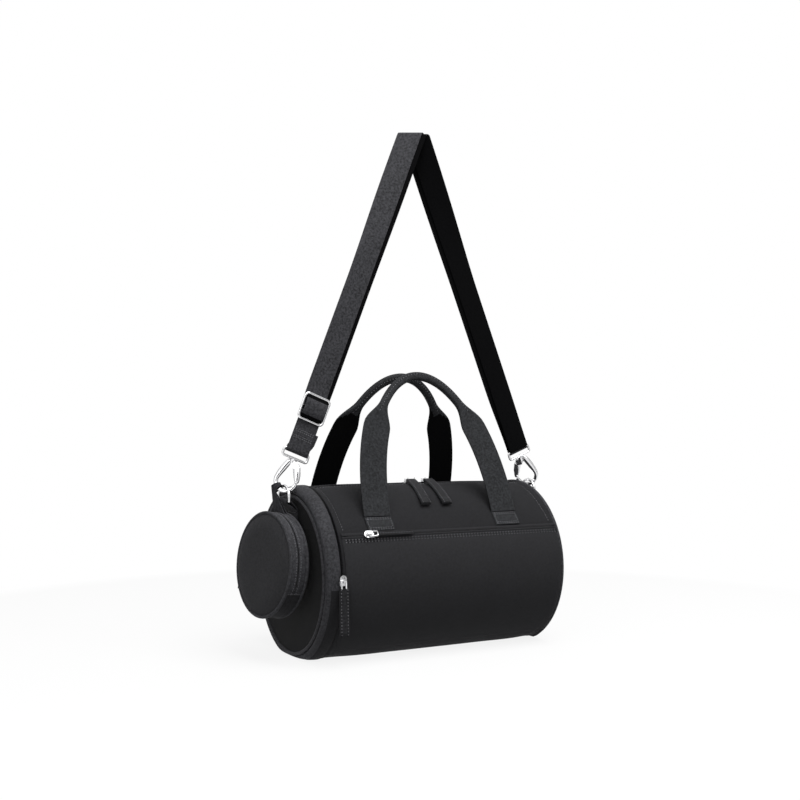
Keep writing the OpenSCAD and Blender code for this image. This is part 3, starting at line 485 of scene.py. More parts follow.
def pocket_point(turn, share):
    """A place on the panel, a share of the way from its left edge: full in the middle, with a rolled edge."""
    left = pocket_left(turn)
    x = left + (POCKET_RIGHT - left) * share
    down = (turn - POCKET_TOP) * POCKET_ARC
    edge = min(down, (POCKET_BOTTOM - turn) * POCKET_ARC, x - left, POCKET_RIGHT - x)
    hem = sum(exp(-((down - row) / 0.7) ** 2) for row in HEM_ROWS)
    full = sin(pi * min(1.0, max(0.0, down / 118))) * sin(pi * share) ** 0.5
    r = POCKET_R - 0.9 * max(0.0, 1 - edge / 1.6) ** 2 - 0.3 * hem + 1.6 * full
    return on_barrel(x, turn, r + 0.5 * full * noise.noise(on_barrel(x, turn, r) / 38))


pocket_cloth = woven("pocket_cloth", "#28282a", 0.42, 0.07, mottle=0.1)
pocket_bm = bmesh.new()
lay_cloth(pocket_bm,
          steps(POCKET_TOP, POCKET_TOP + 4, POCKET_BOTTOM - 15, POCKET_BOTTOM, pitch=0.9),
          steps(0.0, 0.01, 0.99, 1.0, pitch=0.012),
          pocket_point,
          grain=lambda turn, share: (turn * POCKET_ARC, POCKET_LEFT + share * POCKET_WEAVE))
thicken(pocket_bm, 1.8)
hang("front_pocket_panel", pocket_bm, pocket_cloth, "bag", "pocket_cloth", "pocket_panel")

pocket_seams = bmesh.new()
for down in HEM_ROWS:
    turn = POCKET_TOP + down / POCKET_ARC
    sew(pocket_seams, barrel_row((turn, turn), (POCKET_LEFT + 2, POCKET_RIGHT - 1), POCKET_R),
        pitch=3.5, shade_dot=0.8)
hang("pocket_stitching", pocket_seams, sewn, "bag", "pocket_cloth")

pocket_tape_bm = bmesh.new()
for near, far in ((59.2, 61.2), (61.5, 62.8)):
    lay_cloth(pocket_tape_bm, steps(near, near + 0.3, far - 0.2, far, pitch=0.5),
              steps(POCKET_LEFT, POCKET_RIGHT, pitch=6.0),
              lambda turn, x: on_barrel(x, turn, 91.35 - 1.0 * max(0.0, 1 - (turn - near) / 0.5) ** 2
                                        - 0.4 * max(0.0, 1 - (far - turn) / 0.3)),
              grain=lambda turn, x: (turn * 1.5, x))
thicken(pocket_tape_bm, 0.5)
hang("pocket_zip_tape_cloth", pocket_tape_bm, pocket_cloth, "bag", "zip", "pocket_zip_tape")
close_zip("pocket_zip_teeth", [barrel_row((turn, turn), (POCKET_LEFT + 5 + shift, POCKET_RIGHT - 6), 90.6)
                               for shift, turn in ((0.0, 61.15), (TOOTH_PITCH / 2, 61.55))],
          "bag", "pocket_zip_coil", length=0.9, width=0.8)


def well_point(turn, x):
    """A place on the pocket's back, which turns up to the body round its edge."""
    edge = min((turn - WELL_TOP) * POCKET_ARC, (WELL_BOTTOM - turn) * POCKET_ARC,
               x - WELL_LEFT, WELL_RIGHT - x)
    return on_barrel(x, turn, 79.6 + 6.7 * max(0.0, 1 - edge / 1.2))


lining = woven("lining_cloth", "#3a3a3f", 0.35, 0.05, mottle=0.08, roughness=0.6)
well_bm = bmesh.new()
lay_cloth(well_bm, steps(WELL_TOP, WELL_TOP + 0.8, WELL_BOTTOM - 0.8, WELL_BOTTOM, pitch=3.0),
          steps(WELL_LEFT, WELL_LEFT + 1.2, WELL_RIGHT - 1.2, WELL_RIGHT, pitch=6.0),
          well_point, grain=lambda turn, x: (turn * 1.5, x))
thicken(well_bm, LINING_THICK)
hang("pocket_back_cloth", well_bm, lining, "bag", "lining", "pocket_back")


# Inside: a thin lining bag, a divider that closes off the end compartment, and a stiff board that
# keeps the base flat. The lining hangs from the top zip's tapes.

LINING_R, DIVIDER_X, BOARD_TOP = 86.2, -87.0, 3.1


def above(spot, floor):
    """A point moved up to a floor, where it is below it."""
    spot.z = max(spot.z, floor)
    return spot


def disc_cloth(bm, x, radius, bulge, facing, floor=0.0):
    """A round of cloth across the barrel, bulging by bulge at its middle, its weave upright."""
    def place(share, turn):
        return above(on_barrel(x + facing * bulge * (1 - share ** 2), turn, radius * share), floor)

    shares = [k / 14 for k in range(15)]
    lay_cloth(bm, shares[::facing], steps(0.0, 360.0, pitch=4.0), place,
              grain=lambda share, turn: circle(turn, radius * share)[::-1])


def refinish(node, finish):
    """Gives one of the frame's own nodes its material."""
    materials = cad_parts[node].data.materials
    materials.clear()
    materials.append(finish.material)


lining_bm = bmesh.new()
lay_cloth(lining_bm, steps(MOUTH_TURN, WELL_TOP, WELL_BOTTOM, 360 - MOUTH_TURN, pitch=4.0),
          steps(DIVIDER_X + 1.0, WELL_RIGHT, 134.8, pitch=7.0),
          lambda turn, x: above(on_barrel(x, turn, LINING_R), BOARD_TOP),
          grain=lambda turn, x: (turn * 1.5, x),
          cut_out=lambda turn, x: WELL_TOP < turn < WELL_BOTTOM and x < WELL_RIGHT)
thicken(lining_bm, LINING_THICK)
hang("lining_bag", lining_bm, lining, "bag", "lining", "body_lining")

divider_bm = bmesh.new()
disc_cloth(divider_bm, DIVIDER_X, LINING_R - 0.1, 0.0, -1, floor=BOARD_TOP)
thicken(divider_bm, LINING_THICK)
hang("divider_cloth", divider_bm, lining, "bag", "lining", "compartment_divider")

refinish("base_board", woven("pressed_board", "#55504a", 2.0, 0.05, mottle=0.3, roughness=0.7, sheen=0.0))


# Left end: a padded disc of dark cloth in a round of piping, on a stiff rim faced with ribbed cloth. The end
# zip runs over the top from one side to the other, and below it a gusset joins the rim to the body.

END_ZIP_X, END_ZIP_R, END_ZIP_TURN = -124.5, 88.5, 94.0
PIPING_R, END_PAD, RIM_WALL = 2.0, 2.6, 2.4
RIM_PROFILE = [(-137.4, 81.2), (-138.7, 82.0), (-139.3, 83.3), (-139.1, 84.8), (-138.2, 86.2), (-136.8, 87.4),
               (-135.0, 88.4), (-132.5, 89.3), (-129.5, 89.8), (-127.0, 89.9), (-125.8, 89.6), (-125.5, 88.7)]
GUSSET_PROFILE = [(-135.6, 87.3), (-135.2, 88.5), (-133.8, 89.2), (-130.5, 89.7), (-127.5, 89.9),
                  (-125.4, 89.9), (-124.1, 89.6), (-123.7, 88.6)]
OVER_FLOOR = 0.05


def run_along(spots):
    """How far along a line each of its points is."""
    run = [0.0]
    for before, after in zip(spots, spots[1:]):
        run.append(run[-1] + dist(before, after))
    return run


def around(bm, profile, turns, wall=0.0, cut_out=None):
    """Cloth round the barrel, whose cut across is a line of x and radius. It stays over the floor."""
    run = run_along(profile)

    def place(turn, k):
        spot = on_barrel(profile[k][0], turn, profile[k][1])
        spot.z = soft_floor(spot.z)
        return spot

    lay_cloth(bm, turns, list(range(len(profile))), place,
              grain=lambda turn, k: (turn * BODY_ARC, run[k]), cut_out=cut_out)
    if wall:
        thicken(bm, wall)
    for vert in bm.verts:
        vert.co.z = max(vert.co.z, OVER_FLOOR)


def pipe_round(name, x, r, node):
    """Piping sewn round the barrel, flat along the base where the barrel is."""
    def place(bead, turn):
        spot, out = on_barrel(x, turn, r), off_barrel(turn)
        if spot.z < PIPING_R:
            spot.z, out = PIPING_R, Vector((0, 0, -1))
        return spot + PIPING_R * (out * sin(radians(bead)) + Vector((1, 0, 0)) * cos(radians(bead)))

    piping_bm = bmesh.new()
    lay_cloth(piping_bm, steps(0.0, 360.0, pitch=24.0), steps(0.0, 360.0, pitch=3.0), place,
              grain=lambda bead, turn: (radians(bead) * PIPING_R, radians(turn) * r))
    face_outwards(piping_bm)
    hang(name, piping_bm, piping_cloth, "bag", "zip", node)


def pad_end(name, x, radius, bulge, facing, finish, slot, node, floor=0.0):
    """A padded round of cloth that closes one end of the bag."""
    end_bm = bmesh.new()
    disc_cloth(end_bm, x, radius, bulge, facing, floor=floor)
    thicken(end_bm, END_PAD)
    hang(name, end_bm, finish, "bag", slot, node)


end_cloth = woven("end_cloth", "#0f0f10", 0.5, 0.08, mottle=0.12, sheen=0.01)
pad_end("left_end_disc", -139.0, 77.4, 1.3, -1, end_cloth, "end_cloth", "left_end_panel")
piping_cloth = woven("piping_cloth", "#38383b", 0.6, 0.10, mottle=0.35, roughness=0.7, sheen=0.06)
pipe_round("left_end_piping", -138.4, 79.1, "left_piping")

rim_cloth = woven("rim_cloth", "#343437", 1.2, 0.22, rib=0.6, mottle=0.35, roughness=0.7, sheen=0.05)
rim_bm = bmesh.new()
around(rim_bm, RIM_PROFILE, steps(-180.0, -END_ZIP_TURN, END_ZIP_TURN, 180.0, pitch=3.0), wall=RIM_WALL,
       cut_out=lambda turn, k: abs(turn) > END_ZIP_TURN and k > 6)
hang("left_end_rim", rim_bm, rim_cloth, "bag", "body_cloth", "end_rim")

gusset_bm = bmesh.new()
around(gusset_bm, GUSSET_PROFILE, steps(END_ZIP_TURN, 360 - END_ZIP_TURN, pitch=3.0), wall=RIM_WALL)
hang("end_gusset_cloth", gusset_bm, body_cloth, "bag", "body_cloth", "end_gusset")

end_tapes_bm = bmesh.new()
for near, far in ((-128.0, -125.3), (-123.7, -121.6)):
    around(end_tapes_bm, [(near, END_ZIP_R), (far, END_ZIP_R)], steps(-END_ZIP_TURN, END_ZIP_TURN, pitch=3.0))
thicken(end_tapes_bm, TAPE_THICK)
hang("end_zip_tape_cloth", end_tapes_bm, zip_tape, "bag", "zip", "end_zip_tapes")
end_rows = [barrel_row((shift - END_ZIP_TURN, shift + END_ZIP_TURN), (END_ZIP_X + x,) * 2, 88.9)
            for shift, x in ((0.0, 0.95), (0.5, -0.95))]
close_zip("end_zip_teeth", end_rows, "bag", "end_zip_coil")


# Right end: a plain padded panel, sewn to the body in one seam with a round of piping. It is flat
# along the base like the body.

pad_end("right_end_cloth", 138.3, 86.4, 1.6, 1, body_cloth, "body_cloth", "right_end_panel", floor=3.8)
pipe_round("right_end_piping", 137.0, 88.0, "right_piping")


# Carry handles: webbing arches, flat at the feet and folded lengthwise to a stitched grip above. Each
# foot is sewn down to the body with a box of doubled stitches.

HANDLE_FOOT = Vector((75.0, 68.03, 143.26))
HANDLE_RISE, HANDLE_LEAN = 151.0, radians(19.8)
LEG_HALF_W, LEG_HALF_THICK = 15.0, 1.1
GRIP_HALF_W, GRIP_HALF_THICK = 4.6, 3.8
GRIP_STATIONS, HEM_REACH = 22, 0.6
PATCH_TURNS, PATCH_R, PATCH_ARC = (48.6, 58.54), 91.5, 1.57
BOX_HALF_W, BOX_ROWS = 13, (0.9, 2.0)


def sweep(bm, stations, corners=20, second=None):
    """A strip or a rod through stations: centre, half its width and half its thickness as vectors, and
    how square its corners are, from 2 for round."""
    run = run_along([station[0] for station in stations])

    def edge(turn, square):
        return [copysign(abs(part) ** (2 / square), part) for part in circle(turn)]

    def place(turn, k):
        centre, wide, thick, square = stations[k]
        u, v = edge(turn, square)
        return centre + wide * u + thick * v

    made = lay_cloth(bm, [360.0 * k / corners for k in range(corners)] + [360.0],
                     list(range(len(stations))), place,
                     grain=lambda turn, k: (stations[k][1].length * edge(turn, stations[k][3])[0], run[k]),
                     second=second)
    shell = faces_at(made)
    rims = list(dict.fromkeys(rim for face in shell for rim in face.edges if rim.is_boundary))
    if rims:
        shell += bmesh.ops.holes_fill(bm, edges=rims)["faces"]
    bmesh.ops.recalc_face_normals(bm, faces=shell)


def handle_station(turn, front):
    """Half an ellipse from foot to foot, leaning over the bag's middle and narrowing to the grip."""
    across, up = circle(turn)
    lean_up = Vector((0, front * sin(HANDLE_LEAN), cos(HANDLE_LEAN)))
    grip = ease((up - 0.62) / 0.18)
    length = hypot(HANDLE_FOOT.x * up, HANDLE_RISE * across)
    flat = Vector((HANDLE_RISE * across / length, 0, 0)) - HANDLE_FOOT.x * up / length * lean_up
    out = Vector((0, -front * cos(HANDLE_LEAN), sin(HANDLE_LEAN)))
    centre = Vector((-HANDLE_FOOT.x * across, -front * HANDLE_FOOT.y, HANDLE_FOOT.z))
    centre += HANDLE_RISE * up * lean_up
    half_w = LEG_HALF_W + (GRIP_HALF_W - LEG_HALF_W) * grip
    half_thick = LEG_HALF_THICK + (GRIP_HALF_THICK - LEG_HALF_THICK) * grip
    return centre, flat * half_w, out * half_thick, 6.0 - 3.4 * grip


def patch_point(turn, x, foot):
    """A place on a handle's foot, rolled at its edges and dented by its two boxes of stitches."""
    edge = min(abs(turn) - PATCH_TURNS[0], PATCH_TURNS[1] - abs(turn)) * PATCH_ARC
    rolled = max(0.0, 1 - min(edge, LEG_HALF_W - abs(x - foot)) / 0.8) ** 2
    dented = max(exp(-((edge - gap) / 0.5) ** 2) for gap in (1.6, 3.4))
    return on_barrel(x, turn, PATCH_R - 0.5 * rolled - 0.25 * dented)


webbing = woven("webbing", "#2f2f32", 1.3, 0.22, rib=0.6, mottle=0.4, roughness=0.72, sheen=0.06)
handle_webbing = woven("handle_webbing", "#292a2c", 1.3, 0.2, rib=0.6, mottle=0.42, roughness=0.75,
                       sheen=0.05)
# Near-black webbing that paints shade: the handles' and strap's inner faces, the strap's back ply and the
# slider wrap's dipped ends are toned for the shade they stand in at rest, so a folded handle shows plain
# black.
painted_shade_webbing = woven("painted_shade_webbing", "#070708", 1.3, 0.15, rib=0.6, mottle=0.12, roughness=0.9, sheen=0.0,
                      specular=0.05)
for side_name, front in (("front", 1), ("back", -1)):
    handle = side_name + "_handle"
    handle_bm = bmesh.new()
    handle_stations = [handle_station(turn, front) for turn in steps(0.0, 180.0, pitch=2.0)]
    middle = len(handle_stations) // 2
    for foot in (handle_stations[0], handle_stations[-1]):
        foot[0].z -= HEM_REACH
    # All of the handle's inner face except the grip takes the second finish, which is painted shade.
    sweep(handle_bm, handle_stations, corners=24,
          second=lambda turn, k: turn > 180 and abs(k - middle) > GRIP_STATIONS - 3 * cos(radians(turn)))
    hang(handle + "_webbing", handle_bm, (handle_webbing, painted_shade_webbing), handle, "webbing", handle)
    handle_seam = bmesh.new()
    for lean in (-1, 1):
        row = []
        for turn in steps(46.0, 134.0, pitch=3.0):
            centre, wide, thick, _ = handle_station(turn, front)
            row.append((centre + lean * thick - wide * 0.28, (lean * thick).normalized()))
        sew(handle_seam, row, pitch=3.6, length=2.2, width=0.3, shade_dot=0.4)
    hang(handle + "_stitching", handle_seam, sewn, handle, "webbing")

    patch_bm, patch_seams = bmesh.new(), bmesh.new()
    for foot in (-HANDLE_FOOT.x, HANDLE_FOOT.x):
        facing = [turn * front for turn in PATCH_TURNS[::front]]
        edges = (foot - LEG_HALF_W, foot - LEG_HALF_W + 1, foot + LEG_HALF_W - 1, foot + LEG_HALF_W)
        lay_cloth(patch_bm, steps(*facing, pitch=0.3), steps(*edges, pitch=0.5),
                  lambda turn, x: patch_point(turn, x, foot), grain=lambda turn, x: (x, turn * PATCH_ARC))
        box = (foot - BOX_HALF_W, foot + BOX_HALF_W)
        rows = [PATCH_TURNS[0] + gap for gap in BOX_ROWS] + [PATCH_TURNS[1] - gap for gap in BOX_ROWS[::-1]]
        for turn in rows:
            sew(patch_seams, barrel_row((front * turn,) * 2, box, PATCH_R - 0.15), pitch=2.8, shade_dot=0.5)
        for x in box:
            sew(patch_seams, barrel_row((front * (PATCH_TURNS[0] + 1), front * (PATCH_TURNS[1] - 1)), (x, x),
                                        PATCH_R - 0.15), pitch=2.8, shade_dot=0.5)
    thicken(patch_bm, 1.5)
    hang(handle + "_feet", patch_bm, handle_webbing, "bag", "webbing", handle + "_patches")
    hang(side_name + "_feet_stitching", patch_seams, sewn, "bag", "webbing")


# Ring tabs and rings: at each end a D-ring of bent wire hangs in a folded tab of webbing, which is
# sewn down to the end of the bag.

RING_BAR, RING_WRAP_R = (-149.67, 156.75), 2.35
TAB_Y, TAB_HALF_W, TAB_FACE = -9, 10.65, 141.25
FLAT_EDGE = 9.0


def beside(path, k):
    """The points before and after a point of a path. At an end, the point itself is one of them."""
    return path[max(0, k - 1)], path[min(len(path) - 1, k + 1)]


chrome = Finish("chrome", {"Base Color": (0.78, 0.78, 0.79, 1.0), "Metallic": 1.0, "Roughness": 0.12})
polish = chrome.node("ShaderNodeTexNoise", None, {"Vector": chrome.node("ShaderNodeTexCoord").other("Object"),
                                                  "Scale": 260.0, "Detail": 3.0})
ripple = chrome.node("ShaderNodeBump", None, {"Strength": 0.25, "Distance": 0.00015, "Height": polish})
chrome.feed(chrome.shader, {"Roughness": polish * 0.16 + 0.05, "Normal": ripple})
for side_name, side in (("left", 1), ("right", -1)):
    path = [(-139.5, 127.6), (-139.5, 138.0), (-139.6, 148.6), (-144.0, 153.6), (-148.26, 158.43)]
    path += [(RING_BAR[0] + out, RING_BAR[1] + up)
             for out, up in (circle(turn, RING_WRAP_R) for turn in steps(53.0, 233.0, pitch=18.0))]
    path += [(-146.2, 151.6), (-140.7, 147.2), (-140.7, 138.0), (-140.7, 127.6)]
    tab_stations = []
    for k, (x, z) in enumerate(path):
        before, after = beside(path, k)
        along = Vector((side * (after[0] - before[0]), 0, after[1] - before[1])).normalized()
        tab_stations.append((Vector((side * x, TAB_Y, z)), Vector((0, TAB_HALF_W, 0)),
                             Vector((-along.z, 0, along.x)) * 0.5, 8.0))
    tab_bm = bmesh.new()
    sweep(tab_bm, tab_stations)
    hang(side_name + "_ring_tab_webbing", tab_bm, webbing, "bag", "webbing", side_name + "_ring_tab")
    tab_seams = bmesh.new()
    for z in (129.6, 132.0, 145.4):
        row = [(Vector((-side * TAB_FACE, y, z)), Vector((-side, 0, 0))) for y in (TAB_Y - 9, TAB_Y + 9)]
        sew(tab_seams, row, pitch=2.4, length=1.6)
    hang(side_name + "_tab_stitching", tab_seams, thread, "bag", "webbing")


# Shoulder strap: one length of polyester webbing, doubled. It runs from the slider up the left leg, over the
# fold, down through the right eye and back beside itself, and a short loop joins the slider to the left eye.

STRAP_HALF_W, STRAP_HALF_THICK = 12.5, 0.7
EYE = Vector((136.0, -9.0, 206.5))
FOLD_Z = 545.95
PLY_OUT, PLY_IN = 2.35, 0.775
LAYER_SHIFT, SHIFT_LENGTH = 2.5, 75.0
LEG_ANGLE = atan(EYE.x / (FOLD_Z - EYE.z + PLY_OUT * pi / 2))
LEG_LENGTH = (FOLD_Z - EYE.z) / cos(LEG_ANGLE)
FOLD_TURN = radians(29.0)
LEG_TWIST = atan(tan(FOLD_TURN) / cos(LEG_ANGLE))
FOLD_TIP = asin(sin(LEG_TWIST) * sin(LEG_ANGLE))
FOLD_SLANT = asin(sin(LEG_ANGLE) * cos(FOLD_TURN))
FOLD_REACH = PLY_OUT * pi / 2 * tan(LEG_ANGLE) / cos(FOLD_TURN)
LOOP_END, SLIDER_UP = 33.5, 46.0


def leg_station(side, up, offset, shift, facing):
    """A place on a leg of the strap, which lies flat below and twists towards the fold above."""
    turned = ease((up / LEG_LENGTH - 0.5) / 0.5)
    twist = LEG_TWIST * turned
    along = Vector((-side * sin(LEG_ANGLE), 0, cos(LEG_ANGLE)))
    flat = Vector((cos(LEG_ANGLE), 0, side * sin(LEG_ANGLE)))
    back = Vector((0, 1, 0))
    across = cos(twist) * flat - sin(twist) * back
    across -= side * turned * tan(LEG_ANGLE) * cos(twist) * along
    out = cos(twist) * back + sin(twist) * flat
    foot = Vector((side * EYE.x, EYE.y - side * turned * FOLD_REACH * sin(FOLD_TURN), EYE.z))
    centre = foot + up * along + offset * out + shift * ease(up / SHIFT_LENGTH) * across
    return centre, across * STRAP_HALF_W, out * (facing * STRAP_HALF_THICK), FLAT_EDGE


def fold_station(part, r, shift, facing):
    """A place on the fold at the top, a part of the way from the left leg to the right one."""
    turn = FOLD_TIP + (pi - 2 * FOLD_TIP) * part
    along_fold = Vector((cos(FOLD_TURN), -sin(FOLD_TURN), 0))
    behind = Vector((sin(FOLD_TURN), cos(FOLD_TURN), 0))
    out = Vector((0, 0, sin(turn))) - behind * cos(turn)
    run = FOLD_REACH * (2 * part - 1) + shift / cos(FOLD_SLANT)
    centre = Vector((0, EYE.y, FOLD_Z)) + out * r + run * along_fold
    return centre, along_fold * (STRAP_HALF_W / cos(FOLD_SLANT)), out * (facing * STRAP_HALF_THICK), FLAT_EDGE


def eye_station(turn):
    """A place round the right eye's bar, from behind it under to its front."""
    up = Vector((-sin(LEG_ANGLE), 0, cos(LEG_ANGLE)))
    out = Vector((0, cos(turn), 0)) - up * sin(turn)
    flat = Vector((cos(LEG_ANGLE), 0, sin(LEG_ANGLE)))
    return EYE + out * PLY_OUT, flat * STRAP_HALF_W, out * STRAP_HALF_THICK, FLAT_EDGE


def up_leg(start):
    """Heights on a leg of the strap, from a start up to the fold."""
    return steps(start, SHIFT_LENGTH, LEG_LENGTH / 2, LEG_LENGTH, pitch=7.0)


def down_leg(end):
    """Heights on a leg of the strap, from the fold down to an end."""
    return steps(LEG_LENGTH, LEG_LENGTH / 2, SHIFT_LENGTH, end, pitch=7.0)


strap_webbing = woven("strap_webbing", "#37373a", 1.3, 0.22, rib=0.65, mottle=0.42, roughness=0.7, sheen=0.06)
fold_parts = [k / 14 for k in range(1, 14)]
outer_layer = [leg_station(-1, up, -PLY_OUT, -LAYER_SHIFT, -1) for up in up_leg(LOOP_END)]
outer_layer += [fold_station(part, PLY_OUT, -LAYER_SHIFT, 1) for part in fold_parts]
outer_layer += [leg_station(1, up, PLY_OUT, -LAYER_SHIFT, 1) for up in down_leg(0.0)]
outer_layer += [eye_station(pi * k / 8) for k in range(1, 8)]
inner_layer = [leg_station(1, up, PLY_IN - (PLY_IN + PLY_OUT) * ease(1 - up / SHIFT_LENGTH), LAYER_SHIFT, -1)
               for up in up_leg(0.0)]
inner_layer += [fold_station(part, PLY_IN, LAYER_SHIFT, -1) for part in fold_parts[::-1]]
inner_layer += [leg_station(-1, up, -PLY_IN, LAYER_SHIFT, 1) for up in down_leg(SLIDER_UP)]
outer_bm, inner_bm = bmesh.new(), bmesh.new()
# The outer layer's inner face and the whole return layer take the near-black finish: painted shade of the
# strap's inside and back ply.
sweep(outer_bm, outer_layer, second=lambda turn, k: turn > 180)
sweep(inner_bm, inner_layer)
hang("shoulder_strap", outer_bm, (strap_webbing, painted_shade_webbing), "strap", "webbing",
     "strap_outer_layer", "strap_right_loop")
hang("shoulder_strap_return", inner_bm, painted_shade_webbing, "strap", "webbing", "strap_inner_layer")

at_left_eye = Matrix.Translation((-EYE.x, EYE.y, EYE.z)) @ Matrix.Rotation(LEG_ANGLE, 4, "Y")
turned_eye = at_left_eye.to_3x3()
loop_path = [(-PLY_OUT, up, 0.0) for up in steps(LOOP_END, 0.0, pitch=4.0)]
loop_path += [(-PLY_OUT * cos(pi * k / 8), -PLY_OUT * sin(pi * k / 8), 0.3 * k / 8) for k in range(1, 8)]
loop_path += [(PLY_OUT, 0.0, 0.3), (1.6, 4.0, 1.0), (-0.2, 8.0, 2.2), (-0.95, 11.2, 3.0), (-0.95, 17.0, 3.4),
              (-0.95, 22.3, 3.6)]
loop_stations = []
for k, (y, up, slide) in enumerate(loop_path):
    before, after = beside(loop_path, k)
    along = Vector((0, after[0] - before[0], after[1] - before[1])).normalized()
    loop_stations.append((at_left_eye @ Vector((slide, y, up)), turned_eye @ Vector((STRAP_HALF_W, 0, 0)),
                          turned_eye @ Vector((0, -along.z, along.y)) * STRAP_HALF_THICK, FLAT_EDGE))
loop_bm = bmesh.new()
sweep(loop_bm, loop_stations)
hang("strap_lower_loop", loop_bm, strap_webbing, "strap", "webbing", "strap_left_loop")

strap_seams = bmesh.new()
for up in (12.5, 14.6, 19.0, 21.0):
    sew(strap_seams, [(at_left_eye @ Vector((x, -PLY_OUT - 0.75, up)), turned_eye @ Vector((0, -1, 0)))
                      for x in (-11, 11)], pitch=2.4, length=1.6)
hang("strap_stitching", strap_seams, thread, "strap", "webbing")


# Strap slider: a rounded frame of bright wire with a bar across its middle. The webbing comes up through
# the frame, bulges over the bar and goes back down; where it dips under at both ends its shade is painted
# dark.

WRAP_HALF, WRAP_Y, WRAP_LIT = 11.2, -4.1, 8
BULGE, BULGE_POWER = 4.2, 3.0
wrap_stations = []
for up in steps(-WRAP_HALF, WRAP_HALF, pitch=1.0):
    share = abs(up) / WRAP_HALF
    slope = BULGE * BULGE_POWER * share ** (BULGE_POWER - 1) / WRAP_HALF * copysign(1, up)
    lift = BULGE * (1 - share ** BULGE_POWER)
    wrap_stations.append((at_left_eye @ Vector((0, WRAP_Y - lift, SLIDER_UP + up)),
                          turned_eye @ Vector((STRAP_HALF_W - 0.2, 0, 0)),
                          (turned_eye @ Vector((0, -1, slope))).normalized() * STRAP_HALF_THICK, FLAT_EDGE))
wrap_bm = bmesh.new()
# Stations beyond WRAP_LIT from the middle, where the webbing dips under the frame, take the second finish:
# painted shade.
sweep(wrap_bm, wrap_stations, second=lambda turn, k: abs(k - len(wrap_stations) / 2 + 0.5) > WRAP_LIT)
hang("slider_webbing", wrap_bm, (strap_webbing, painted_shade_webbing), "strap_slider", "webbing",
     "strap_slider_wrap")


# Hardware: cast zinc and bent steel wire, polished and chrome plated. The rings, eyes, slider frame, zip
# sliders, hooks, gates and pins keep the solids' shapes.

for node in ("left_ring", "right_ring", "left_strap_eye", "right_strap_eye", "strap_slider_frame",
             "left_hook", "right_hook", "left_hook_gate", "right_hook_gate", "left_gate_pin", "right_gate_pin",
             "left_main_slider", "right_main_slider", "pocket_slider", "end_slider", "pouch_slider"):
    refinish(node, chrome)


# Hook castings: over the swivelling bow a thicker spine runs down from the collar and round to the gate,
# and a broad flat sleeve covers the gate. A rivet with two round heads holds the gate.

BOW_DROP, BOW_Z, BOW_R = 42, 11.0, 11.2
SPINE = [(-2.0, 33.4, 1.0, 1.2), (-2.5, 32.6, 2.3, 1.9), (-3.9, 30.6, 3.0, 2.3), (-6.2, 26.0, 3.2, 2.4),
         (-8.6, 19.8, 3.1, 2.3), (-10.1, 15.4, 2.7, 2.1)]
SPINE += [(x, BOW_Z + z, 2.2, 2.05) for x, z in (circle(180 + 12 * k, BOW_R) for k in range(14))]
SPINE += [(11.1, 9.4, 1.9, 1.9), (11.1, 10.0, 1.0, 1.0)]
SLEEVE = [(3.9, 28.8, 1.0, 1.0), (4.6, 27.8, 2.9, 1.9), (6.2, 25.1, 3.8, 2.1), (8.8, 18.9, 3.6, 2.1),
          (10.7, 13.4, 2.6, 1.9), (11.2, 11.4, 1.9, 1.6), (11.2, 10.7, 0.8, 0.8)]
RIVETS = (((4.5, 26.25), 1.5), ((10.2, 12.6), 1.1))
at_left_bow = at_left_eye @ Matrix.Translation((0, 0, -BOW_DROP)) @ turned_by(-45, "Z")
half_round = Matrix.Translation((0, 2 * EYE.y, 0)) @ turned_by(180, "Z")


def cast_bar(bm, place, spots):
    """A bar cast along spots of x, z, half-width and half-depth, in the plane that place gives."""
    turned = place.to_3x3()
    stations = []
    for k, (x, z, half_w, half_d) in enumerate(spots):
        before, after = beside(spots, k)
        along = Vector((after[0] - before[0], 0, after[1] - before[1])).normalized()
        stations.append((place @ Vector((x, 0, z)), turned @ Vector((along.z, 0, -along.x)) * half_w,
                         turned @ Vector((0, half_d, 0)), 3.0))
    sweep(bm, stations, corners=16)


for side_name, place in (("left", at_left_bow), ("right", half_round @ at_left_bow)):
    casting_bm, sleeve_bm = bmesh.new(), bmesh.new()
    cast_bar(casting_bm, place, SPINE)
    hang(side_name + "_hook_casting", casting_bm, chrome, side_name + "_hook", "metal")
    cast_bar(sleeve_bm, place, SLEEVE)
    for face in (-2.0, 2.0):
        for (x, z), r in RIVETS:
            head = place @ Matrix.Translation((x, face, z)) @ Matrix.Diagonal((r, 0.8, r, 1.0))
            bmesh.ops.create_icosphere(sleeve_bm, subdivisions=2, radius=1.0, matrix=head)
    hang(side_name + "_gate_sleeve", sleeve_bm, chrome, side_name + "_hook_gate", "metal")


# Zip pulls: a bent wire link in each slider's bridge holds a strip of cloth. The top and end pulls are
# wide doubled strips stitched down both edges, the others are thin.

LINK_R, LINK_HALF = 0.8, 2.35
HINGE_LIFT = 3.15
TOP_HINGE_Z, TOP_PULL_R, TOP_PULL_TURNS, TOP_PULL_HALF_W = 173.4, 91.7, (5.73, 41.2), 5.6
HEM_AT = 0.87


def wire_link(name, place, reach, drop):
    """A bent wire from one side round the bridge's bar to the other, along the hinge's own X."""
    end = Vector((reach + 0.5, 0, -drop))
    far = [Vector((reach, side * LINK_HALF, -drop)) for side in (-1, 1)]
    near = [Vector((0.6, side * LINK_HALF, -drop * 0.05)) for side in (-1, 1)]
    bar = [Vector((0, y, 0)) for y in (0.5 - LINK_HALF, 0, LINK_HALF - 0.5)]
    wire = [far[0], near[0], *bar, near[1], far[1], end, far[0]]
    turned = place.to_3x3()
    stations = []
    for k, spot in enumerate(wire):
        before, after = beside(wire, k)
        along = (after - before).normalized()
        wide = Vector((0, 0, 1)).cross(along).normalized()
        stations.append((place @ spot, turned @ wide * LINK_R, turned @ along.cross(wide) * -LINK_R, 2.0))
    link_bm = bmesh.new()
    sweep(link_bm, stations, corners=10)
    hang(name + "_link", link_bm, chrome, name, "metal")


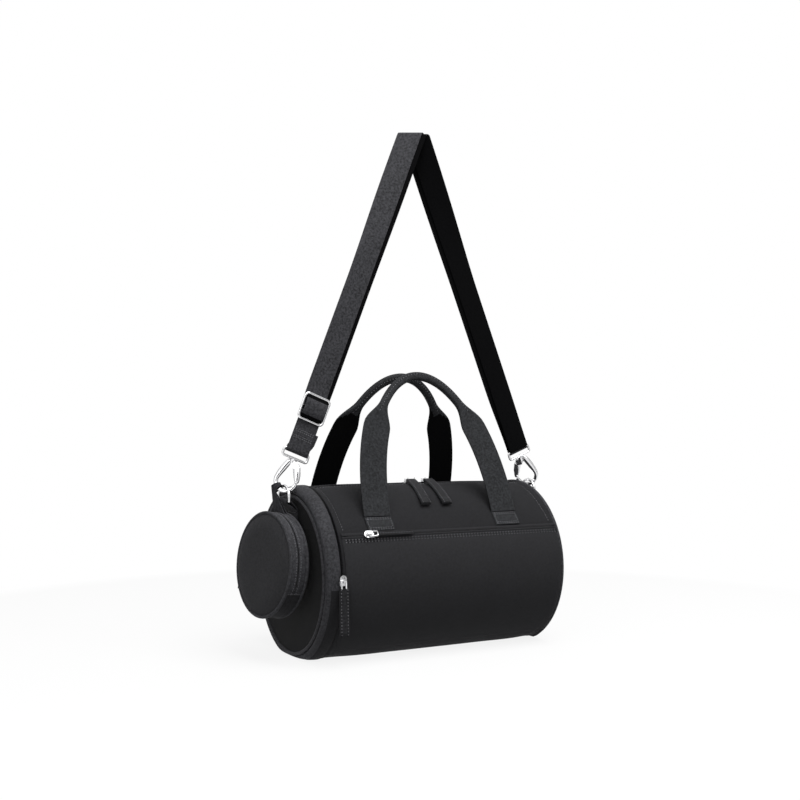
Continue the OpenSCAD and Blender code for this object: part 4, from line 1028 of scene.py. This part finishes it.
def stitched_strip(name, stations, rows, inset=1.6):
    """A cloth pull: the strip itself and a row of stitches down both edges, on both faces."""
    strip_bm, strip_seams = bmesh.new(), bmesh.new()
    sweep(strip_bm, stations)
    for face in (-1, 1):
        for edge in rows:
            row = [(centre + wide * (edge * (1 - inset / wide.length)) + thick * face,
                    (thick * face).normalized()) for centre, wide, thick, _ in stations]
            sew(strip_seams, row, pitch=3.0, length=1.5, width=0.34, shade_dot=0.5)
    hang(name + "_strip", strip_bm, pull_cloth, name, "webbing", name)
    hang(name + "_strip_stitching", strip_seams, sewn, name, "webbing")


def straight_pull(name, place, length, half_w, half_thick, rows):
    """A link and a straight strip along the hinge's own X."""
    wire_link(name, place, 8.6, 0.0)
    turned = place.to_3x3()
    stations = []
    for part in steps(0.0, 0.02, 0.98, 1.0, pitch=0.08):
        tip = 0.6 if part in (0.0, 1.0) else 1.0
        stations.append((place @ Vector((7.4 + length * part, 0, 0)), turned @ Vector((0, half_w, 0)),
                         turned @ Vector((0, 0, half_thick * tip)), 5.0))
    stitched_strip(name, stations, rows, inset=half_w * 0.32)


def hinge_on_barrel(x, turn, r):
    """Place of a slider's hinge over the barrel, its Z outwards and its X along the bag."""
    out = off_barrel(turn)
    turned = Matrix((Vector((1, 0, 0)), out.cross(Vector((1, 0, 0))), out)).transposed().to_4x4()
    return Matrix.Translation(on_barrel(x, turn, r)) @ turned @ Matrix.Translation((0, 0, HINGE_LIFT))


pull_cloth = woven("pull_cloth", "#222224", 0.7, 0.12, rib=0.3, mottle=0.4, roughness=0.7)
for name, x, lean in (("left_main_pull", -4.0, 11.0), ("right_main_pull", 17.0, 7.0)):
    wire_link(name, Matrix.Translation((x, 0, TOP_HINGE_Z)) @ turned_by(-90, "Z"), 9.9,
              TOP_HINGE_Z - AXIS_Z - 93.2 * cos(radians(6.2)))
    stations = []
    for part in steps(0.0, 0.02, HEM_AT - 0.01, HEM_AT + 0.01, 0.98, 1.0, pitch=0.05):
        turn = TOP_PULL_TURNS[0] + (TOP_PULL_TURNS[1] - TOP_PULL_TURNS[0]) * part
        thick = (1.3 if part < HEM_AT else 1.7) * (0.55 if part in (0.0, 1.0) else 1.0)
        r = TOP_PULL_R + 1.6 * (2 * part - 1) ** 2 + thick - 1.0
        stations.append((on_barrel(x - lean * part, turn, r), Vector((TOP_PULL_HALF_W, 0, 0)),
                         off_barrel(turn) * thick, 5.0))
    stitched_strip(name, stations, (-1, 1))

pocket_hinge = hinge_on_barrel(-92.0, 61.354, 91.95)
straight_pull("pocket_pull", pocket_hinge @ turned_by(1.25, "Y"), 42.0, 2.3, 0.7, (0,))
end_hinge = hinge_on_barrel(END_ZIP_X, 88.0, 90.35)
straight_pull("end_pull", end_hinge @ turned_by(-90, "Z"), 44.0, 5.0, 1.0, (-1, 1))


# Pouch: a round case on a webbing tab that loops over the left hook. Two faces are joined by a side
# wall with piping at both edges, and a zip runs round most of the wall.

POUCH_R, POUCH_WALL, POUCH_SEAM = 52.0, 2.0, 20.4
POUCH_ZIP, POUCH_ZIP_Z = (-28.0, 187.0), 12.0
POUCH_BEAD, POUCH_BEAD_R = 1.7, 51.0
LOWER_WALL = [(50.6, 2.6), (51.5, 3.4), (51.9, 5.0), (51.6, 8.0), (51.8, 10.4), (51.5, 11.3)]
UPPER_WALL = [(51.5, 12.6), (51.8, 13.5), (51.6, 15.8), (51.9, 18.2), (51.5, 19.2), (50.8, 20.0)]
BELOW_ZIP = [(51.5, 11.2), (51.6, 12.0), (51.5, 12.7)]
at_pouch = (Matrix.Translation((-153.475, -11.0, 93.455)) @ turned_by(8, "Z") @ turned_by(5, "Y")
            @ turned_by(-90, "Z") @ turned_by(90, "X"))
turned_pouch = at_pouch.to_3x3()


def turned_round(bm, profile, turns=(0.0, 360.0), wall=0.0, second=None):
    """Cloth turned round the pouch's axis, whose cut is a line of radius and height. A face's weave lies
    straight."""
    run = run_along(profile)

    def grain(turn, k):
        if profile[0][0] == 0 or profile[-1][0] == 0:
            return circle(turn, profile[k][0])
        return radians(turn) * POUCH_R, run[k]

    made = lay_cloth(bm, steps(*turns, pitch=4.0), list(range(len(profile))),
                     lambda turn, k: at_pouch @ Vector((*circle(turn, profile[k][0]), profile[k][1])),
                     grain=grain, second=second)
    if wall:
        bmesh.ops.solidify(bm, geom=faces_at(made), thickness=wall)


def pouch_row(turns, r, z):
    """Path round the pouch's wall, for a row of stitches."""
    return [(at_pouch @ Vector((*circle(turn, r), z)), turned_pouch @ Vector((*circle(turn), 0)))
            for turn in steps(*turns, pitch=4.0)]


def off_zip(turn, k):
    return not POUCH_ZIP[1] < turn < POUCH_ZIP[0] + 360


face_profile = [(50.6 * sin(pi / 2 * k / 20), 1.0 - sin(pi / 2 * k / 20) ** 7) for k in range(21)]
pouch_cloth = woven("pouch_cloth", "#303032", 0.5, 0.08, mottle=0.16)
for side_name, profile in (("pouch_front", [(r, POUCH_SEAM + 5.4 * rise) for r, rise in face_profile][::-1]),
                           ("pouch_back", [(r, 0.6 - 1.2 * rise) for r, rise in face_profile])):
    face_bm = bmesh.new()
    turned_round(face_bm, profile, wall=POUCH_WALL)
    hang(side_name + "_face", face_bm, pouch_cloth, "pouch", "pocket_cloth", side_name + "_panel")

pouch_piping_bm = bmesh.new()
for middle in (POUCH_WALL, POUCH_SEAM):
    turned_round(pouch_piping_bm, [(POUCH_BEAD_R + out, middle + up)
                                   for out, up in (circle(22.5 * k, POUCH_BEAD) for k in range(16, -1, -1))])
face_outwards(pouch_piping_bm)
hang("pouch_piping", pouch_piping_bm, piping_cloth, "pouch", "zip")

wall_cloth = woven("pouch_wall_cloth", "#272729", 0.6, 0.1, mottle=0.18, roughness=0.78)
wall_bm = bmesh.new()
for profile in (LOWER_WALL, UPPER_WALL):
    turned_round(wall_bm, profile, wall=POUCH_WALL, second=off_zip)
turned_round(wall_bm, BELOW_ZIP, (POUCH_ZIP[1], POUCH_ZIP[0] + 360), wall=POUCH_WALL)
hang("pouch_wall", wall_bm, (wall_cloth, piping_cloth), "pouch", "body_cloth", "pouch_side_wall")

pouch_tape_bm = bmesh.new()
turned_round(pouch_tape_bm, [(50.9, POUCH_ZIP_Z - 2), (50.9, POUCH_ZIP_Z + 2)], POUCH_ZIP, wall=TAPE_THICK)
hang("pouch_zip_tape", pouch_tape_bm, zip_tape, "pouch", "zip", "pouch_zip_coil")
pouch_rows = [pouch_row((POUCH_ZIP[0] + shift, POUCH_ZIP[1] - 1 + shift), 51.0, POUCH_ZIP_Z + z)
              for shift, z in ((0.0, -0.4), (0.8, 0.4))]
close_zip("pouch_zip_teeth", pouch_rows, "pouch", width=0.8)
pouch_seams = bmesh.new()
for z in (-2.4, 2.4):
    sew(pouch_seams, pouch_row(POUCH_ZIP, 51.75, POUCH_ZIP_Z + z), pitch=2.6, width=0.28)
for turn in POUCH_ZIP:
    row = [pouch_row((turn, turn), 51.8, z)[0] for z in (3.6, 19.4)]
    sew(pouch_seams, row, pitch=2.2, length=1.6, width=0.3)
hang("pouch_stitching", pouch_seams, thread, "pouch", "body_cloth")

TAB_TURN, TAB_SPREAD, TAB_LOOP_R = 38.0, 15.0, 3.35
TAB_FOOT, TAB_BENDS = Vector((10.0, 51.3, 5.6)), (0.32, 0.68)


def tab_point(across, along):
    """A place on the pouch's tab: across from its back edge, -1, to its front edge, 1; along from its inner
    foot, 0, up and round the bow to its outer foot, 1. Its top is gathered on the bow."""
    on_bow = (at_left_bow @ Matrix.Translation((0, 0, BOW_Z))
              @ turned_by(TAB_TURN - across * TAB_SPREAD, "Y")
              @ Matrix.Translation((0, 0, -BOW_Z)))
    face = -1 if along > 0.5 else 1
    risen = (0.5 - abs(along - 0.5)) / TAB_BENDS[0]
    if risen > 1:
        return on_bow @ Vector((0, *circle(90 + (along - 0.5) / (0.5 - TAB_BENDS[0]) * 130, TAB_LOOP_R)))
    foot = at_pouch @ Vector((across * TAB_FOOT.x, TAB_FOOT.y, TAB_FOOT.z - face * 1.05))
    return foot.lerp(on_bow @ Vector((0, face * 0.85, -TAB_LOOP_R - 1.2)), risen)


tab_bm = bmesh.new()
lay_cloth(tab_bm, steps(-1.0, -0.94, 0.94, 1.0, pitch=0.1), steps(0.0, *TAB_BENDS, 1.0, pitch=0.03),
          tab_point, grain=lambda across, along: (across * TAB_FOOT.x, along * 75.0))
thicken(tab_bm, 1.0)
hang("pouch_tab_webbing", tab_bm, webbing, "pouch", "webbing", "pouch_tab")
tab_seams = bmesh.new()
for along in (0.96, 0.88):
    sew(tab_seams, [(tab_point(across, along), turned_pouch @ Vector((0, 0, 1))) for across in (-0.85, 0.85)],
        pitch=2.6, length=1.5, width=0.3)
hang("pouch_tab_stitching", tab_seams, thread, "pouch", "webbing")

pouch_hinge = (at_pouch @ Matrix.Translation((0, 0, POUCH_ZIP_Z)) @ turned_by(175, "Z")
               @ Matrix.Translation((52.35, 0, 0)) @ turned_by(90, "Z") @ turned_by(90, "X")
               @ Matrix.Translation((0, 0, HINGE_LIFT)))
straight_pull("pouch_pull", pouch_hinge, 27.5, 2.3, 0.7, (0,))
